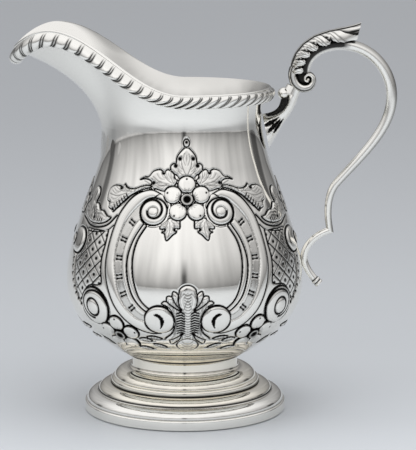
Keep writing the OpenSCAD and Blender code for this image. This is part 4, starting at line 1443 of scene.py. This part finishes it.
class JUG_OT_castings(bpy.types.Operator):
    """Makes the cast leaf, the volute and the bracket of the handle"""

    bl_idname = "jug.castings"
    bl_label = "Castings"

    def execute(self, context):
        cast = silver("hand_chased_casting", 0.13, 0.97)
        self.leaf(cast)
        self.volute(cast)
        self.bracket(cast)
        return {"FINISHED"}

    def leaf(self, cast):
        """Acanthus leaf over the top of the loop: a midrib, and on each side lobes that lap to the tip."""
        station, line, runs, half = loop_line()
        fine = np.linspace(LEAF_FROM, station[-1], 280)
        line, runs, half = (sampled(fine, station, a) for a in (line, runs, half[:, None]))
        along = (fine - LEAF_FROM)[:, None]
        reach = along / along[-1]
        w = np.linspace(-1, 1, 61)
        side = np.abs(w)
        # Lobes to a side, start of the first, their lean, half width of the midrib, and how they shorten
        lobes, first, lean, rib, growth = 5.6, 0.16, 0.9, 0.22, 1.5
        # Place on each lobe, from its free end at 0 to where the next one covers it at 1
        on_lobe = (lobes * reach**growth + lean * (side - 1) + first) % 1
        at_edge = (lobes * reach**growth + first) % 1
        droop = np.sin(math.pi * at_edge**0.65) ** 0.55
        teeth = 0.16 * np.cos(2 * math.pi * 4 * at_edge) * droop
        # The tip stands up from the rod; then the free edge, the top, half the width and the lobes' swell
        lift = 0.47**along
        edge = 0.7 + 2.2 * (1 - droop) + 2.0 * lift + teeth
        top = half + 3.1 + 3.8 * lift
        broad = 4.3 * np.minimum(1, 0.5 + 0.2 * along) * (0.84 + 0.16 * droop)
        swell = np.where(side < rib, 0.3, 0.75 * (1 - on_lobe) ** 0.7 * ramp(side, rib, 0.25))
        tilt = math.pi / 2 * side
        sides_out = edge + (top - edge) * np.cos(tilt) + swell * np.cos(tilt)
        wide_out = np.sign(w) * (broad * np.sin(tilt) ** 0.85 + swell * np.sin(tilt))
        # The underside, bedded on the rod
        under = np.linspace(1, -1, 15)
        bed = half + 0.15 + 2.2 * lift
        sides_in = edge + (bed - edge) * np.cos(math.pi / 2 * under)
        wide_in = (broad - 0.6) * np.sin(math.pi / 2 * under)
        # Dark lines where a lobe is covered, beside the midrib and along the veins, and a dot on each lobe
        lobed = ramp(side, rib, 0.08)
        dark = np.maximum(fade((1 - on_lobe) / 0.16) * lobed, 0.9 * fade((side - rib) / 0.05))
        for vein in (0.32, 0.58):
            dark = np.maximum(dark, 0.5 * fade((on_lobe - vein) / 0.05) * lobed)
        dots = fade((on_lobe - 0.86) / 0.09, 4) * fade((side - 0.6) / 0.07, 4)
        dark = np.maximum(dark, dots)
        away = np.hstack([sides_in, sides_out - 0.2 * dots * np.cos(tilt)])
        wide = np.hstack([wide_in, wide_out - 0.2 * np.sign(w) * dots * np.sin(tilt)])
        # The underside is painted black all over, as shade under the leaf
        dark = np.hstack([np.ones(sides_in.shape), dark])
        rings = rod_rings(line, runs, away, wide, away.shape[1])
        piece = loft("acanthus_leaf", rings, dark)
        finish_piece(piece, cast, 55, "leaf_cap")

    def volute(self, cast):
        """A broad band that sweeps down from the leaf and curls in round a boss, with a web behind it
        painted black as shade.
        """
        middle = np.array([45.9, 125.0])
        radii = (7.0, 5.5, 4.35, 3.35, 2.5, 2.1, 1.95, 1.9, 1.7, 1.4, 1.15, 0.9, 0.6)
        path = spiral(middle, radii, 140, 1.37, 1.0, 150)
        runs = line_directions(path)
        s = np.linspace(0, 1, len(path))
        sides = 36
        a = round_turn(sides)
        band = np.interp(s, [0, 0.1, 0.25, 0.4, 0.55, 0.7, 1], [1.2, 1.65, 1.5, 1.05, 0.8, 0.62, 0.4])
        wide = np.interp(s, [0, 0.3, 0.6, 1], [3.3, 3.2, 2.9, 3.2])
        away = band[:, None] * blunt(np.cos(a), 0.75)
        across = wide[:, None] * blunt(np.sin(a), 0.45)
        # A struck line runs inside each edge of the band
        edge = fade((np.abs(np.cos(a)) - 0.97) / 0.14)
        line = 0.85 * fade((np.cos(a) - 0.35) / 0.22) * np.clip(4 * (0.55 - s), 0, 1)[:, None]
        dark = np.maximum(edge, line)
        curl = loft("volute_curl", rod_rings(path, runs, away, across, sides), dark)
        boss = ball("volute_boss", middle, 0.85, 3.5, 0.0)
        # The web is a sheet painted black, standing for the shade inside the curl
        shade_web = ball("volute_shade_web", middle + [-1.7, 0.5], 3.0, 1.7, 1.0)
        piece = joined(curl, boss, shade_web)
        finish_piece(piece, cast, 60, "volute")

    def bracket(self, cast):
        """A C scroll from the volute to the neck: knob, hollow painted black as shade, pale ridge, and
        strands that splay.
        """
        left = smooth_line(
            [(38.3, 123.2), (36.2, 119.4), (35.8, 116.8), (34.9, 114.5), (33.2, 113), (31, 112.2),
             (29, 111.9)],
            20,
        )
        right = smooth_line(
            [(43.4, 121), (42.4, 118.2), (41.3, 115.2), (39.4, 111.9), (37, 108.4), (34.5, 104),
             (31.6, 98.9)],
            20,
        )
        s = np.linspace(0, 1, len(left))[:, None]
        sides = 96
        a = round_turn(sides)
        u = np.cos(a)[None]
        side = np.abs(np.sin(a))[None]
        wide = np.interp(s, np.linspace(0, 1, 7), [2.6, 3.0, 3.2, 3.3, 3.8, 4.8, 6.2])
        ridge_at = np.interp(s, [0.1, 0.35, 0.5, 0.65, 0.8, 1], [0.12, 0.12, -0.05, -0.3, -0.55, -0.7])
        shown = np.interp(s, [0.13, 0.2, 0.85, 0.95], [0, 1, 1, 0])
        hollow = ramp(ridge_at - u, 0.14, 0.12) * shown
        ridge = fade((u - ridge_at - 0.04) / 0.12) * shown
        # Wedges between the strands, cut in and painted black as shade: where each starts and ends, and its
        # side place there
        wedge = np.zeros((len(s), sides))
        for first, last, begin, end in [
            (0.66, 1.0, -0.12, -0.42),
            (0.66, 0.97, 0.22, 0.05),
            (0.62, 0.88, 0.52, 0.5),
        ]:
            t = ramp(s, first, last - first)
            fat = 0.04 + 0.1 * np.sin(math.pi * t)
            inside = np.interp(s, [first - 0.03, first + 0.05, last - 0.05, last + 0.02], [0, 1, 1, 0])
            wedge = np.maximum(wedge, inside * fade((u - begin - (end - begin) * t) / fat, 4))
        cut = np.clip(0.5 * hollow + 0.4 * wedge - 0.12 * ridge, -0.2, 0.6)
        # The hollow and the wedges are painted black as shade
        dark = np.clip(hollow + wedge, 0, 1)
        middle, reach = (left + right) / 2, (right - left) / 2
        plane = middle[:, None] + reach[:, None] * u[..., None]
        across = wide * np.sin(a) * (1 - cut * np.minimum(1, 1.5 * side))
        rings = seated(np.stack([plane[..., 0], across, plane[..., 1]], -1))
        stem = loft("handle_bracket", rings, dark)
        knob = ball("bracket_knob", np.array([37.0, 119.6]), 2.3, 3.0, 0.0)
        piece = joined(stem, knob)
        finish_piece(piece, cast, 60, "upper_bracket")


class JUG_PT_sidebar(bpy.types.Panel):
    """Lists the jug's settings and its pieces"""

    bl_idname = "JUG_PT_sidebar"
    bl_label = "Cream jug"
    bl_space_type = "VIEW_3D"
    bl_region_type = "UI"
    bl_category = "Cream jug"

    def draw(self, context):
        jug = context.scene.cream_jug
        for key in JugSettings.__annotations__:
            self.layout.prop(jug, key)
        for piece in PIECES:
            self.layout.operator(piece.bl_idname)


PIECES = (
    JUG_OT_stage,
    JUG_OT_vessel,
    JUG_OT_panels,
    JUG_OT_rim,
    JUG_OT_foot,
    JUG_OT_loop,
    JUG_OT_castings,
)
CLASSES = (JugSettings, *PIECES, JUG_PT_sidebar)


def register():
    """Adds the classes and the jug's settings."""
    for cls in CLASSES:
        bpy.utils.register_class(cls)
    bpy.types.Scene.cream_jug = bpy.props.PointerProperty(type=JugSettings)


def unregister():
    """Removes the jug's settings and the classes."""
    del bpy.types.Scene.cream_jug
    for cls in reversed(CLASSES):
        bpy.utils.unregister_class(cls)


def main():
    """Builds the stage and every piece in order."""
    register()
    bpy.ops.jug.stage()
    bpy.ops.jug.vessel()
    bpy.ops.jug.panels()
    bpy.ops.jug.rim()
    bpy.ops.jug.foot()
    bpy.ops.jug.loop()
    bpy.ops.jug.castings()


if __name__ == "__main__":
    main()
